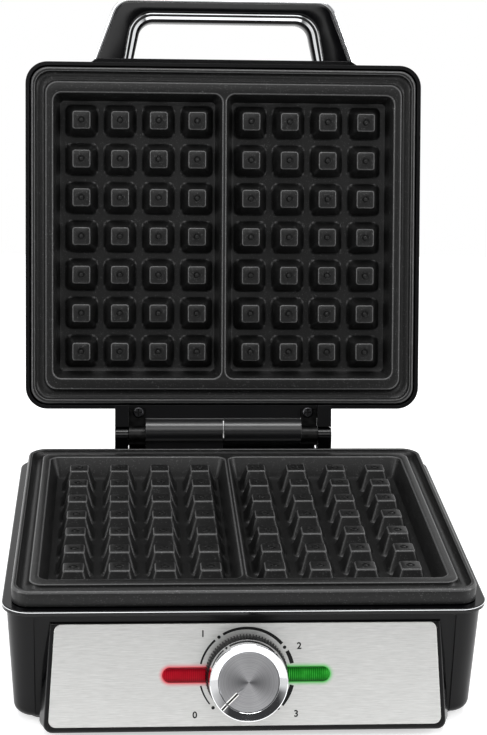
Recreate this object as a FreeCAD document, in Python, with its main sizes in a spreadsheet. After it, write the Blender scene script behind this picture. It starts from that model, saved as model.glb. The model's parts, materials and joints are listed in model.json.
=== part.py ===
import FreeCAD, Part
import os
import re
from math import pi

import Sketcher
from FreeCAD import Placement, Rotation, Vector

# Waffle maker, standing open. X to the right, Y to the back, Z up, in millimetres.
# The origin is on the table, in the middle of the open machine's box.

doc = FreeCAD.newDocument("WaffleMaker")
sheet = doc.addObject("Spreadsheet::Sheet", "Sizes")

driving = {
    # waffle plates
    "pegPitch": (23, "peg to peg"),
    "pegColumns": (4, "pegs across one well"),
    "pegRows": (7, "pegs along one well"),
    "pegBase": (18, "peg at the floor"),
    "pegTop": (10, "peg at its top"),
    "pegShort": (0.5, "peg top below the land"),
    "pegCorner": (3.2, "cut corners of a peg at the floor"),
    "pegToDivider": (2, "floor between the pegs and the divider"),
    "pegToSide": (3.8, "floor between the pegs and the outer wall"),
    "pegToEnd": (3, "floor between the pegs and the end walls"),
    "landSide": (5, "land between a well and the gutter, at the sides"),
    "landEnd": (7, "land between a well and the gutter, at the ends"),
    "plateCorner": (10, "corner radius of the plate"),
    "skirtHeight": (8.4, "outer wall of the plate"),
    "skirtWall": (2.6, "thickness of that wall"),
    "rimWidth": (2.5, "flat rim outside the gutter"),
    "rimRound": (1.0, "rounding on the rim's outer edge"),
    "gutterWidth": (5.5, "overflow gutter"),
    "gutterDepth": (3, "overflow gutter"),
    "gutterFloor": (2.4, "metal left under the gutter"),
    "fieldCorner": (5, "corner radius of the wells"),
    "wellDepth": (12, "depth of the wells"),
    "wellLean": (4, "how far a well wall leans in"),
    "dividerWidth": (2.4, "top of the divider"),
    "wellWall": (5, "metal outside a well's floor"),
    "floorThickness": (4, "metal under the wells"),
    "bossX": (60, "plate bosses, from the middle"),
    "bossY": (45, "plate bosses, from the middle"),
    "bossRadius": (4.6, "plate bosses"),
    "bossLength": (12, "plate bosses"),
    "plateGap": (1.0, "between the lands when closed"),
    # heaters and shields
    "heaterRadius": (3.3, "tubular heater"),
    "heaterInset": (16.5, "heater inside the wells' outline"),
    "heaterGap": (14, "heater ends, from the middle"),
    "heaterBend": (14, "bend of the heater's middle line"),
    "heaterAir": (0.2, "heater to plate"),
    "shieldInset": (2.5, "heat shield inside the wells' outline"),
    "shieldCorner": (8, "heat shield"),
    "shieldThickness": (0.8, "sheet"),
    "shieldWall": (7, "folded edge of the shield"),
    # fasteners
    "screwRadius": (1.6, "shank"),
    "screwHeadRadius": (3.3, "head"),
    "screwHeadHeight": (2.2, "head"),
    "screwPlay": (0.6, "shank to a through hole"),
    "threadPlay": (0.05, "shank to a tapped hole"),
    "screwBite": (8, "shank inside a tapped hole"),
    # tub
    "ringBorder": (4.6, "trim ring beyond the plate"),
    "ringCorner": (14, "trim ring"),
    "ringThickness": (2.4, "trim ring"),
    "ringLip": (2, "ring beyond the tub"),
    "ringRound": (0.7, "rounding on the ring's top edge"),
    "ringPlay": (0.8, "ring to the plate's block"),
    "tubHeight": (58.2, "tub without feet"),
    "tubDraft": (3, "lean of the tub's walls in degrees"),
    "tubCorner": (14, "corner radius"),
    "tubRound": (5, "rounding at the floor"),
    "tubWall": (2.5, "walls and floor"),
    "frontRecess": (1, "front wall behind its corner columns"),
    "recessDrop": (2, "upper edge of that recess below the tub's top"),
    "pillarRadius": (5.6, "screw pillars"),
    "pillarRoof": (6, "pillar left above the screw head"),
    "ventLength": (34, "slots in the floor"),
    "ventWidth": (3, "slots in the floor"),
    "ventPitch": (8, "slots in the floor"),
    "ventCount": (7, "slots in the floor"),
    "footHeight": (3, "feet below the tub"),
    "footRadius": (8, "rubber feet"),
    "footSeat": (1, "feet let into the floor"),
    "footChamfer": (1, "feet"),
    "footInset": (17, "feet, from the tub's top edges"),
    "glandInset": (32, "lead inlet, from the tub's side"),
    "glandZ": (24, "lead inlet above the table"),
    "glandBore": (3.6, "radius for the lead"),
    "glandNeck": (5.5, "gland in the wall"),
    "glandFlange": (8, "gland outside the wall"),
    "glandBossRadius": (10, "flat round on the rear wall"),
    "glandBossReach": (3, "flat round beyond the tub's top edge"),
    "glandFlangeHeight": (3, "gland outside the wall"),
    "terminalWidth": (30, "terminal block"),
    "terminalDepth": (17, "terminal block"),
    "terminalHeight": (13, "terminal block"),
    "terminalX": (62, "terminal block, from the middle"),
    "terminalY": (72, "terminal block, from the middle"),
    "cutoutRadius": (3.5, "thermal cutout"),
    "cutoutLength": (22, "thermal cutout"),
    "cutoutY": (20, "thermal cutout, from the middle"),
    # controls
    "panelTilt": (15, "lean of the control face in degrees"),
    "bezelTop": (56.6, "top of the control face above the table"),
    "bezelBottom": (4, "its lower edge above the table"),
    "bezelHeadInset": (22, "control face inside the tub at the top"),
    "bezelFootInset": (18.6, "control face inside the tub at the bottom"),
    "bezelCorner": (4, "lower corners of the bezel"),
    "bezelFlare": (2.6, "bezel wider behind its face"),
    "bezelDepth": (7.5, "depth of the bezel's side"),
    "bezelLift": (1, "underside rises to the back"),
    "bezelNeckStep": (3.8, "part behind inside the control face"),
    "bezelNeckInset": (5, "part behind above the lower edge"),
    "bezelRail": (8, "tub wall left above the window for the controls"),
    "bezelHollow": (72, "half width of the hollow"),
    "bezelWall": (2.2, "wall behind the fascia"),
    "bezelRound": (1, "edges of the control face"),
    "panelTopMargin": (0.8, "fascia below the face's top"),
    "panelBottomMargin": (3, "fascia above the face's lower edge"),
    "panelSideMargin": (2.1, "fascia inside the face's sides"),
    "panelCorner": (3.5, "corner radius of the fascia"),
    "panelThickness": (0.8, "fascia sheet"),
    "panelSeat": (0.6, "depth of the fascia's recess"),
    "lensOuter": (41, "far end of a light bar from the knob"),
    "lensInner": (16.5, "near end of a light bar"),
    "lensHalf": (3.6, "half height of a light bar"),
    "lensProud": (0.6, "light bar before the fascia"),
    "lensLip": (1.2, "flange behind the wall"),
    "lensPlay": (0.1, "light bar in its hole"),
    "lampRadius": (3, "lamps"),
    "seatGap": (0.2, "pieces that lie against each other"),
    "thermostatRadius": (14, "switch body"),
    "thermostatDepth": (16, "switch body"),
    "thermostatNeck": (5, "bush in the bezel"),
    "spindleRadius": (3, "shaft"),
    "spindleFit": (0.05, "shaft in its bush"),
    "knobClear": (1.4, "skirt before the fascia"),
    "skirtRadius": (20.4, "knob skirt"),
    "skirtThickness": (9, "knob skirt"),
    "knurlCount": (60, "ribs round the skirt"),
    "knurlWidth": (1, "width of a rib"),
    "knurlDepth": (0.8, "height of a rib"),
    "collarRadius": (18.9, "chrome ring at the front"),
    "collarBack": (19.3, "chrome ring where it meets the skirt"),
    "collarHeight": (9, "chrome ring"),
    "collarBore": (14.9, "chrome ring"),
    "collarEdge": (1.2, "bevel and flat at the ring's front"),
    "capRadius": (14.8, "metal disc"),
    "capThickness": (1.6, "metal disc"),
    "capSink": (1.2, "disc behind the ring's front"),
    "pointerWidth": (1, "groove in the disc"),
    "pointerLength": (11, "groove in the disc"),
    "pointerDepth": (0.5, "groove in the disc"),
    "pointerTurn": (225, "groove's direction at off in degrees"),
    # hinge
    "hingeBeyond": (19.3, "axis behind the plate's edge"),
    "hingeRise": (0.8, "axis above the lower land"),
    "lidOpen": (105, "angle of the open lid in degrees"),
    "pinRadius": (2.5, "hinge pins"),
    "pinFit": (0.05, "pins in the leaves"),
    "postWidth": (8, "posts"),
    "postGap": (0.4, "leaf to post"),
    "pinInPost": (6, "pin's end in the post"),
    "postTop": (5, "radius of the post round the pin"),
    "postFoot": (36, "post's lower end above the table"),
    "lowScrewRise": (8, "lower post screws above the post's end"),
    "highScrewDrop": (6, "upper rear screws below the tub's top"),
    "postSeat": (0.1, "post to the tub"),
    "stopRise": (9.5, "stop above the axis"),
    "stopThickness": (5, "stop behind the arm"),
    "armEnd": (5.4, "arm's end from the axis"),
    "armBelow": (3, "arm below the axis"),
    "armAbove": (6, "arm above the axis"),
    "armGap": (0.4, "arm to its stop"),
    "barrelRadius": (7, "cable barrel"),
    "barrelRise": (3, "barrels above the axis when open"),
    "barrelPlay": (0.4, "barrels to what passes them"),
    "barrelOuter": (46.7, "outer end of a barrel"),
    "barrelSplit": (0.4, "half the gap between the barrels"),
    "barrelBore": (3.5, "way for the leads"),
    "barrelSocket": (4, "pin end in a barrel"),
    "leafGap": (0.3, "barrel to leaf"),
    "leafWidth": (9.6, "leaves"),
    "leafEye": (6, "eye round the pin"),
    "leafThickness": (2.4, "leaf"),
    "blockHeight": (11, "hinge block"),
    "blockRoot": (2, "hinge block inside the lid's wall"),
    "leafScrewIn": (4, "leaf screws, from the leaf's inner face"),
    "leafScrewBack": (14, "leaf screws, before the axis"),
    "troughWall": (2.4, "wall of the trough under the barrels"),
    "troughTop": (6, "its rear edge below the axis"),
    # lid
    "lidPlay": (0.35, "lid to the plate's outer wall"),
    "lidCorner": (13, "corner radius"),
    "lidHeight": (40, "land to the top of the lid"),
    "lidDraft": (5, "lean of the lid's walls in degrees"),
    "lidRound": (8, "rounding at the top"),
    "lidWall": (2.2, "walls and top"),
    "lipRise": (1, "lip behind the land"),
    "ribThickness": (2, "ribs that carry the plate"),
    "ribDepth": (6, "ribs that carry the plate"),
    "ribX": (80, "ribs on front and back"),
    "ribY": (62, "ribs on the sides"),
    "plugRadius": (4.4, "caps on the screw holes"),
    "plugHeight": (2, "caps on the screw holes"),
    # handle
    "handleFoot": (156, "arch at the lid"),
    "handleHead": (130, "arch at its front, before rounding"),
    "handleReach": (36.5, "arch before the lid"),
    "handleOpenFoot": (109, "finger gap at the lid"),
    "handleOpenHead": (99.5, "finger gap at its front"),
    "handleOpenReach": (22.6, "finger gap before the lid"),
    "handleOuterRound": (12, "arch corner"),
    "handleInnerRound": (9, "finger gap corner"),
    "handleThickness": (17, "arch, top to bottom"),
    "handleMiddle": (15, "arch above the lid's land"),
    "handleRound": (2.4, "edges of the grip"),
    "trimOuter": (2.4, "outer chrome strip"),
    "trimInner": (5.2, "inner chrome strip"),
    "trimShort": (3, "strips slimmer than the grip"),
    "bossStripBeyond": (2, "strip beyond the handle's legs"),
    "bossStripReach": (2.6, "strip before the lip"),
    "bossStripHeight": (22, "strip, top to bottom"),
    "bossStripEnd": (4, "slope at the strip's ends"),
}

worked_out = {
    "wellWidth": "(pegColumns - 1) * pegPitch + pegBase + pegToDivider + pegToSide + 2 * wellLean",
    "fieldWidth": "2 * wellWidth + dividerWidth",
    "fieldDepth": "(pegRows - 1) * pegPitch + pegBase + 2 * pegToEnd + 2 * wellLean",
    "firstColumn": "dividerWidth / 2 + wellLean + pegToDivider + pegBase / 2",
    "plateWidth": "fieldWidth + 2 * (landSide + gutterWidth + rimWidth)",
    "plateDepth": "fieldDepth + 2 * (landEnd + gutterWidth + rimWidth)",
    "heaterSide": "fieldWidth / 2 - heaterInset",
    "heaterEnd": "fieldDepth / 2 - heaterInset",
    "shieldWidth": "fieldWidth - 2 * shieldInset",
    "shieldDepth": "fieldDepth - 2 * shieldInset",
    "ringWidth": "plateWidth + 2 * ringBorder",
    "ringDepth": "plateDepth + 2 * ringBorder",
    "tubWidth": "ringWidth - 2 * ringLip",
    "tubDepth": "ringDepth - 2 * ringLip",
    "tubTop": "footHeight + tubHeight",
    "tubShrink": "tubHeight * tan(tubDraft)",
    "tubFloor": "footHeight + tubWall",
    "footX": "tubWidth / 2 - footInset",
    "footY": "tubDepth / 2 - footInset",
    "glandX": "tubWidth / 2 - glandInset",
    "ringTop": "tubTop + ringThickness",
    "ridgeHeight": "ringTop + skirtHeight",
    "wellMiddle": "(wellWidth + dividerWidth) / 2",
    "blockDepth": "wellDepth + floorThickness",
    "blockWidth": "fieldWidth - 2 * wellLean + 2 * wellWall",
    "blockLength": "fieldDepth - 2 * wellLean + 2 * wellWall",
    "bossEnd": "blockDepth + bossLength",
    "shieldFace": "bossEnd + shieldThickness",
    "pillarTop": "ridgeHeight - shieldFace",
    "screwSeat": "pillarTop - pillarRoof",
    "firstRow": "(pegRows - 1) / 2 * pegPitch",
    "hingeBack": "plateDepth / 2 + hingeBeyond",
    "hingeHeight": "ridgeHeight + hingeRise",
    "blockEnd": "barrelRise + barrelRadius + barrelPlay",
    "leafInner": "barrelOuter + leafGap",
    "leafOuter": "leafInner + leafWidth",
    "leafScrewX": "leafInner + leafScrewIn",
    "postInner": "leafOuter + postGap",
    "postOuter": "postInner + postWidth",
    "lidLift": "plateGap - hingeRise",
    "lidScrewSeat": "shieldFace + pillarRoof / 2",
    "bezelHeadWidth": "tubWidth - 2 * bezelHeadInset",
    "bezelFootWidth": "tubWidth - 2 * bezelFootInset",
    "bezelNeck": "bezelHeadWidth / 2 - bezelNeckStep",
    "faceLength": "(bezelTop - bezelBottom) / cos(panelTilt)",
    "panelHeight": "faceLength - panelTopMargin - panelBottomMargin",
    "faceTop": "panelTopMargin + panelHeight / 2",
    "faceBottom": "faceTop - faceLength",
    "tubFrontAtBezel": "tubDepth / 2 - (tubTop - bezelTop) * tan(tubDraft)",
    "panelY": "-tubFrontAtBezel - faceTop * sin(panelTilt)",
    "panelZ": "bezelTop - faceTop * cos(panelTilt)",
    "wedgeAngle": "panelTilt + tubDraft",
    "wallFace": "panelSeat + bezelWall",
    "knobFace": "knobClear + skirtThickness + collarHeight",
    "tubRear": "tubDepth / 2",
    "lidRearSlope": "tan(lidDraft)",
    "lidMargin": "lidWall + lidPlay + skirtHeight * lidRearSlope",
    "lidWidth": "plateWidth + 2 * lidMargin",
    "lidDepth": "plateDepth + 2 * lidMargin",
    "handleRise": "lidDepth / 2 + bossStripReach",
    "handleScrewX": "(handleFoot + handleOpenFoot) / 4",
    "bossStripWidth": "handleFoot + 2 * bossStripBeyond",
}

row = 0
for name, (number, note) in driving.items():
    row += 1
    sheet.set(f"A{row}", note)
    sheet.set(f"B{row}", str(number))
    sheet.setAlias(f"B{row}", name)
for name, formula in worked_out.items():
    row += 1
    sheet.set(f"A{row}", "worked out")
    sheet.set(f"B{row}", "=" + formula)
    sheet.setAlias(f"B{row}", name)
doc.recompute()

aliases = set(driving) | set(worked_out)
quarter = pi / 2


def linked(formula):
    """The formula as other objects of the document write it."""
    return re.sub(r"[A-Za-z]\w*", lambda word: "Sizes." * (word.group() in aliases) + word.group(), formula)


def size(formula):
    return float(sheet.evalExpression(formula))


def bind(target, prop, formula):
    setattr(target, prop, size(formula))
    target.setExpression(prop, linked(formula))


# Sketches

PLANES = {"top": "XY_Plane", "front": "XZ_Plane", "side": "YZ_Plane"}


def origin_feature(body, role):
    return next(item for item in body.Origin.OriginFeatures if item.Role == role)


def new_sketch(body, name, plane="top", lift="0", tilt=None):
    """An empty sketch on one of the body's own planes, lifted along its normal and tilted about its X."""
    sketch = body.newObject("Sketcher::SketchObject", name)
    sketch.AttachmentSupport = (origin_feature(body, PLANES[plane]), [""])
    sketch.MapMode = "FlatFace"
    if tilt:
        sketch.AttachmentOffset = Placement(Vector(), Rotation(Vector(1, 0, 0), size(tilt)))
        sketch.setExpression("AttachmentOffset.Rotation.Angle", linked(tilt))
    if lift != "0":
        sketch.setExpression("AttachmentOffset.Base.z", linked(lift))
    return sketch


def constrain(sketch, rules):
    """Adds (kind, references, formula) rules and binds those that have a formula."""
    made = []
    for kind, places, formula in rules:
        extra = [] if formula is None else [size(formula)]
        made.append(Sketcher.Constraint(kind, *places, *extra))
    numbers = sketch.addConstraint(made)
    for number, (kind, places, formula) in zip(numbers, rules):
        if formula is not None:
            sketch.setExpression(f"Constraints[{number}]", linked(formula))


def at(geometry, point, x, y):
    """Rules that hold one point of a sketch at (x, y)."""
    return [("DistanceX", (-1, 1, geometry, point), x), ("DistanceY", (-1, 1, geometry, point), y)]


def add_polygon(sketch, corners):
    first = sketch.GeometryCount
    spots = [Vector(size(x), size(y), 0) for x, y in corners]
    count = len(spots)
    rules = []
    for i in range(count):
        sketch.addGeometry(Part.LineSegment(spots[i], spots[(i + 1) % count]), False)
        rules.append(("Coincident", (first + i, 2, first + (i + 1) % count, 1), None))
        rules += at(first + i, 1, *corners[i])
    constrain(sketch, rules)


def add_rounded_box(sketch, width, depth, corner, x="0", y="0"):
    first = sketch.GeometryCount
    right, back, r = size(width) / 2, size(depth) / 2, size(corner)
    middle = Vector(size(x), size(y), 0)
    turns = ((1, -1), (1, 1), (-1, 1), (-1, -1))
    for i, (sx, sy) in enumerate(turns):
        bx, by = turns[i - 1]
        start = Vector(bx * (right - r * (i % 2 == 0)), by * (back - r * (i % 2)), 0)
        end = Vector(sx * (right - r * (i % 2 == 0)), sy * (back - r * (i % 2)), 0)
        sketch.addGeometry(Part.LineSegment(middle + start, middle + end), False)
        hub = middle + Vector(sx * (right - r), sy * (back - r), 0)
        circle = Part.Circle(hub, Vector(0, 0, 1), r)
        sketch.addGeometry(Part.ArcOfCircle(circle, (i - 1) * quarter, i * quarter), False)
    rules = []
    for i in range(4):
        line, arc = first + 2 * i, first + 2 * i + 1
        following = first + (2 * i + 2) % 8
        rules.append(("Tangent", (line, 2, arc, 1), None))
        rules.append(("Tangent", (arc, 2, following, 1), None))
        rules.append((("Horizontal", "Vertical")[i % 2], (line,), None))
    for i in range(1, 4):
        rules.append(("Equal", (first + 1, first + 2 * i + 1), None))
    rules.append(("Radius", (first + 1,), corner))
    rules.append(("DistanceY", (-1, 1, first, 1), f"{y} - ({depth}) / 2"))
    rules.append(("DistanceX", (-1, 1, first + 2, 1), f"{x} + ({width}) / 2"))
    rules.append(("DistanceY", (-1, 1, first + 4, 1), f"{y} + ({depth}) / 2"))
    rules.append(("DistanceX", (-1, 1, first + 6, 1), f"{x} - ({width}) / 2"))
    constrain(sketch, rules)


def add_circle(sketch, x, y, radius):
    number = sketch.GeometryCount
    sketch.addGeometry(Part.Circle(Vector(size(x), size(y), 0), Vector(0, 0, 1), size(radius)), False)
    constrain(sketch, at(number, 3, x, y) + [("Radius", (number,), radius)])


def add_pill(sketch, left, right, y, half):
    """A bar with round ends whose tips are at left and right."""
    first = sketch.GeometryCount
    a, b, middle, r = size(left), size(right), size(y), size(half)
    up, near, far = Vector(0, r, 0), Vector(a + r, middle, 0), Vector(b - r, middle, 0)
    sketch.addGeometry(Part.LineSegment(near - up, far - up), False)
    sketch.addGeometry(Part.ArcOfCircle(Part.Circle(far, Vector(0, 0, 1), r), -quarter, quarter), False)
    sketch.addGeometry(Part.LineSegment(far + up, near + up), False)
    sketch.addGeometry(Part.ArcOfCircle(Part.Circle(near, Vector(0, 0, 1), r), quarter, 3 * quarter), False)
    rules = [("Horizontal", (first,), None)]
    for i in range(4):
        rules.append(("Tangent", (first + i, 2, first + (i + 1) % 4, 1), None))
    rules.append(("Radius", (first + 1,), half))
    rules += at(first + 1, 3, f"{right} - ({half})", y)
    rules.append(("DistanceX", (-1, 1, first + 3, 3), f"{left} + ({half})"))
    constrain(sketch, rules)


def polygon(body, name, corners, plane="top", lift="0"):
    sketch = new_sketch(body, name, plane, lift)
    add_polygon(sketch, corners)
    return sketch


def box(body, name, left, right, low, high, plane="top", lift="0"):
    return polygon(body, name, [(left, low), (right, low), (right, high), (left, high)], plane, lift)


def rounded_box(body, name, width, depth, corner, x="0", y="0", lift="0"):
    sketch = new_sketch(body, name, "top", lift)
    add_rounded_box(sketch, width, depth, corner, x, y)
    return sketch


def frame_of(body, name, outer, inner, lift="0"):
    """Two rounded boxes, one inside the other."""
    sketch = new_sketch(body, name, "top", lift)
    add_rounded_box(sketch, *outer)
    add_rounded_box(sketch, *inner)
    return sketch


def circles(body, name, spots, radius, plane="top", lift="0", tilt=None):
    sketch = new_sketch(body, name, plane, lift, tilt)
    for x, y in spots:
        add_circle(sketch, x, y, radius)
    return sketch


def four_corners(x, y):
    return [(f"{sx} * {x}", f"{sy} * {y}") for sx in (-1, 1) for sy in (-1, 1)]


boss_spots = four_corners("bossX", "bossY")
foot_spots = four_corners("footX", "footY")
through = "screwRadius + screwPlay"
tapped = "screwRadius + threadPlay"


# Features

parts = {}


def new_body(label, where="base"):
    body = doc.addObject("PartDesign::Body", label)
    body.Label = label
    body.AllowCompound = True
    parts[label] = (body, where)
    return body


def extrude(body, kind, sketch, length, back=False, both=False, taper=None):
    feature = body.newObject("PartDesign::" + kind, f"{sketch.Name}{kind}")
    feature.Profile = sketch
    bind(feature, "Length", length)
    feature.Reversed = back
    if both:
        feature.SideType = "Symmetric"
    if taper:
        bind(feature, "TaperAngle", taper)
    return feature


def pad(body, sketch, length, **options):
    return extrude(body, "Pad", sketch, length, **options)


def pocket(body, sketch, length, **options):
    """Cuts, and makes sure that something was cut."""
    doc.recompute()
    before = body.Shape.Volume
    feature = extrude(body, "Pocket", sketch, length, **options)
    doc.recompute()
    if not body.Shape.Volume < before:
        raise ValueError(f"{feature.Name} cuts nothing")
    return feature


def loft(body, first, last, kind="Additive"):
    feature = body.newObject(f"PartDesign::{kind}Loft", f"{first.Name}Loft")
    feature.Profile = first
    feature.Sections = [last]
    feature.Ruled = True
    return feature


def revolve(body, sketch):
    feature = body.newObject("PartDesign::Revolution", f"{sketch.Name}Turn")
    feature.Profile = sketch
    feature.ReferenceAxis = (sketch, ["V_Axis"])
    feature.Angle = 360
    return feature


def mirror(body, feature):
    copy = body.newObject("PartDesign::Mirrored", f"{feature.Name}Mirror")
    copy.Originals = [feature]
    copy.MirrorPlane = (origin_feature(body, "YZ_Plane"), [""])
    body.Tip = copy
    return copy


def round_edges(body, radius, wanted, kind="Fillet"):
    """Rounds or chamfers the edges of the body that the test wanted(edge) picks."""
    doc.recompute()
    base = body.Tip
    names = [f"Edge{i + 1}" for i, edge in enumerate(base.Shape.Edges) if wanted(edge)]
    if not names:
        raise ValueError(f"no edge to round on {body.Label}")
    feature = body.newObject("PartDesign::" + kind, f"{body.Label}{kind}")
    feature.Base = (base, names)
    bind(feature, "Radius" if kind == "Fillet" else "Size", radius)
    return feature


def flat_at(height, axis="z"):
    """A test for edges that lie in the plane z (or another axis) = height."""
    level = size(height)

    def test(edge):
        ends = [getattr(vertex.Point, axis) for vertex in edge.Vertexes] + [getattr(edge.CenterOfMass, axis)]
        return all(abs(end - level) < 1e-4 for end in ends)

    return test


# Waffle plates: one casting, used twice. The land is at z = 0 and the wells go down.

def make_plate(label, where):
    body = new_body(label, where)
    rim = rounded_box(body, label + "Rim", "plateWidth", "plateDepth", "plateCorner")
    pad(body, rim, "skirtHeight", back=True)
    round_edges(body, "rimRound", flat_at("0"))
    block = rounded_box(body, label + "Block", "blockWidth", "blockLength", "fieldCorner")
    pad(body, block, "blockDepth", back=True)
    bosses = circles(body, label + "Bosses", boss_spots, "bossRadius", lift="-blockDepth")
    pad(body, bosses, "bossLength", back=True)
    inside = ("plateWidth - 2 * skirtWall", "plateDepth - 2 * skirtWall", "plateCorner - skirtWall")
    outside = ("blockWidth", "blockLength", "fieldCorner")
    hollow = frame_of(body, label + "Hollow", inside, outside, "-skirtHeight")
    pocket(body, hollow, "skirtHeight - gutterDepth - gutterFloor", back=True)
    cut_gutter(body, label)
    well = rounded_box(body, label + "Well", "wellWidth", "fieldDepth", "fieldCorner", "wellMiddle")
    mirror(body, pocket(body, well, "wellDepth", taper="-atan(wellLean / wellDepth)"))
    holes = circles(body, label + "Taps", boss_spots, tapped, lift="-bossEnd")
    pocket(body, holes, "screwBite + seatGap", back=True)
    add_pegs(body, label)
    return body


def cut_gutter(body, label):
    """The overflow gutter: a round-bottomed groove that runs inside the rim."""
    width = "plateWidth - 2 * rimWidth - gutterWidth"
    depth = "plateDepth - 2 * rimWidth - gutterWidth"
    corner = "plateCorner - rimWidth - gutterWidth / 2"
    route = rounded_box(body, label + "GutterRoute", width, depth, corner)
    section = new_sketch(body, label + "GutterSection", "side", f"-({width}) / 2 + {corner}")
    middle, half, deep = f"-({depth}) / 2", "gutterWidth / 2", "gutterDepth"
    radius = "(gutterWidth ^ 2 / 4 + gutterDepth ^ 2) / (2 * gutterDepth)"
    ends = [Vector(size(f"{middle} + {step} * {half}"), size(f"-{drop} * {deep}"), 0)
            for step, drop in ((-1, 0), (0, 1), (1, 0))]
    section.addGeometry(Part.Arc(*ends), False)
    section.addGeometry(Part.LineSegment(ends[2], ends[0]), False)
    rules = [("Coincident", (0, 2, 1, 1), None), ("Coincident", (1, 2, 0, 1), None), ("Radius", (0,), radius)]
    rules += at(1, 1, f"{middle} + {half}", "0") + at(1, 2, f"{middle} - {half}", "0")
    constrain(section, rules)
    groove = body.newObject("PartDesign::SubtractivePipe", label + "Gutter")
    groove.Profile = section
    groove.Spine = (route, [])
    doc.recompute()
    return groove


def add_pegs(body, label):
    half = "pegBase / 2"
    cut = f"({half} - pegCorner)"
    corners = []
    for sx, sy in ((1, -1), (1, 1), (-1, 1), (-1, -1)):
        first, last = (half, cut), (cut, half)
        for across, along in (first, last) if sx == -sy else (last, first):
            corners.append((f"firstColumn + {sx} * {along}", f"-firstRow + {sy} * {across}"))
    foot = polygon(body, label + "PegFoot", corners, lift="-wellDepth")
    lean = "atan((pegBase - pegTop) / 2 / (wellDepth - pegShort))"
    peg = pad(body, foot, "wellDepth - pegShort", taper=f"-{lean}")
    doc.recompute()
    grid = body.newObject("PartDesign::MultiTransform", label + "Pegs")
    grid.Originals = [peg]
    across = body.newObject("PartDesign::LinearPattern", label + "PegsAcross")
    across.Direction = (origin_feature(body, "X_Axis"), [""])
    bind(across, "Length", "(pegColumns - 1) * pegPitch")
    across.setExpression("Occurrences", linked("pegColumns"))
    along = body.newObject("PartDesign::LinearPattern", label + "PegsAlong")
    along.Direction = (origin_feature(body, "Y_Axis"), [""])
    bind(along, "Length", "(pegRows - 1) * pegPitch")
    along.setExpression("Occurrences", linked("pegRows"))
    other = body.newObject("PartDesign::Mirrored", label + "PegsMirrored")
    other.MirrorPlane = (origin_feature(body, "YZ_Plane"), [""])
    grid.Transformations = [across, along, other]
    body.Tip = grid
    return grid


def make_heater(label, where):
    """A tubular heater that runs round under the pegs, with both ends at the back."""
    body = new_body(label, where)
    level = "-blockDepth - heaterRadius - heaterAir"
    route = new_sketch(body, label + "Route", "top", level)
    gap, side, end, bend = (size(name) for name in ("heaterGap", "heaterSide", "heaterEnd", "heaterBend"))
    turns = ((-1, 1), (-1, -1), (1, -1), (1, 1))
    stops = [Vector(-gap, end, 0)]
    for sx, sy in turns:
        on_end, on_side = Vector(sx * (side - bend), sy * end, 0), Vector(sx * side, sy * (end - bend), 0)
        stops += [on_end, on_side] if sx == -sy else [on_side, on_end]
    stops.append(Vector(gap, end, 0))
    for i in range(5):
        route.addGeometry(Part.LineSegment(stops[2 * i], stops[2 * i + 1]), False)
    for i, (sx, sy) in enumerate(turns):
        circle = Part.Circle(Vector(sx * (side - bend), sy * (end - bend), 0), Vector(0, 0, 1), bend)
        route.addGeometry(Part.ArcOfCircle(circle, (i + 1) * quarter, (i + 2) * quarter), False)
    rules = []
    for i in range(4):
        rules.append(("Tangent", (i, 2, 5 + i, 1), None))
        rules.append(("Tangent", (5 + i, 2, i + 1, 1), None))
    for i in range(5):
        rules.append((("Horizontal", "Vertical")[i % 2], (i,), None))
    for i in range(1, 4):
        rules.append(("Equal", (5, 5 + i), None))
    rules.append(("Radius", (5,), "heaterBend"))
    rules += at(0, 1, "-heaterGap", "heaterEnd") + at(4, 2, "heaterGap", "heaterEnd")
    rules.append(("DistanceX", (-1, 1, 1, 1), "-heaterSide"))
    rules.append(("DistanceY", (-1, 1, 2, 1), "-heaterEnd"))
    rules.append(("DistanceX", (-1, 1, 3, 1), "heaterSide"))
    constrain(route, rules)
    section = circles(body, label + "Section", [("heaterEnd", level)], "heaterRadius", "side", "-heaterGap")
    tube = body.newObject("PartDesign::AdditivePipe", label + "Tube")
    tube.Profile = section
    tube.Spine = (route, [])
    return body


def make_shield(label, where):
    """A sheet tray on the plate's bosses, with its edges folded up."""
    body = new_body(label, where)
    tray = rounded_box(body, label + "Tray", "shieldWidth", "shieldDepth", "shieldCorner", lift="-shieldFace")
    pad(body, tray, "shieldThickness + shieldWall")
    inner = [f"{outer} - 2 * shieldThickness" for outer in ("shieldWidth", "shieldDepth")]
    inside = rounded_box(body, label + "Inside", *inner, "shieldCorner - shieldThickness", lift="-bossEnd")
    pocket(body, inside, "shieldWall", back=True)
    holes = circles(body, label + "Holes", boss_spots, through, lift="-shieldFace")
    pocket(body, holes, "shieldThickness", back=True)
    return body


def make_screws(label, where, spots, seat, shank, up=True):
    """Pan-head screws whose heads sit on the plane at seat."""
    body = new_body(label, where)
    heads = circles(body, label + "Heads", spots, "screwHeadRadius", "top", seat)
    pad(body, heads, "screwHeadHeight", back=up)
    shanks = circles(body, label + "Shanks", spots, "screwRadius", "top", seat)
    pad(body, shanks, shank, back=not up)
    return body


# Base

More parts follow.
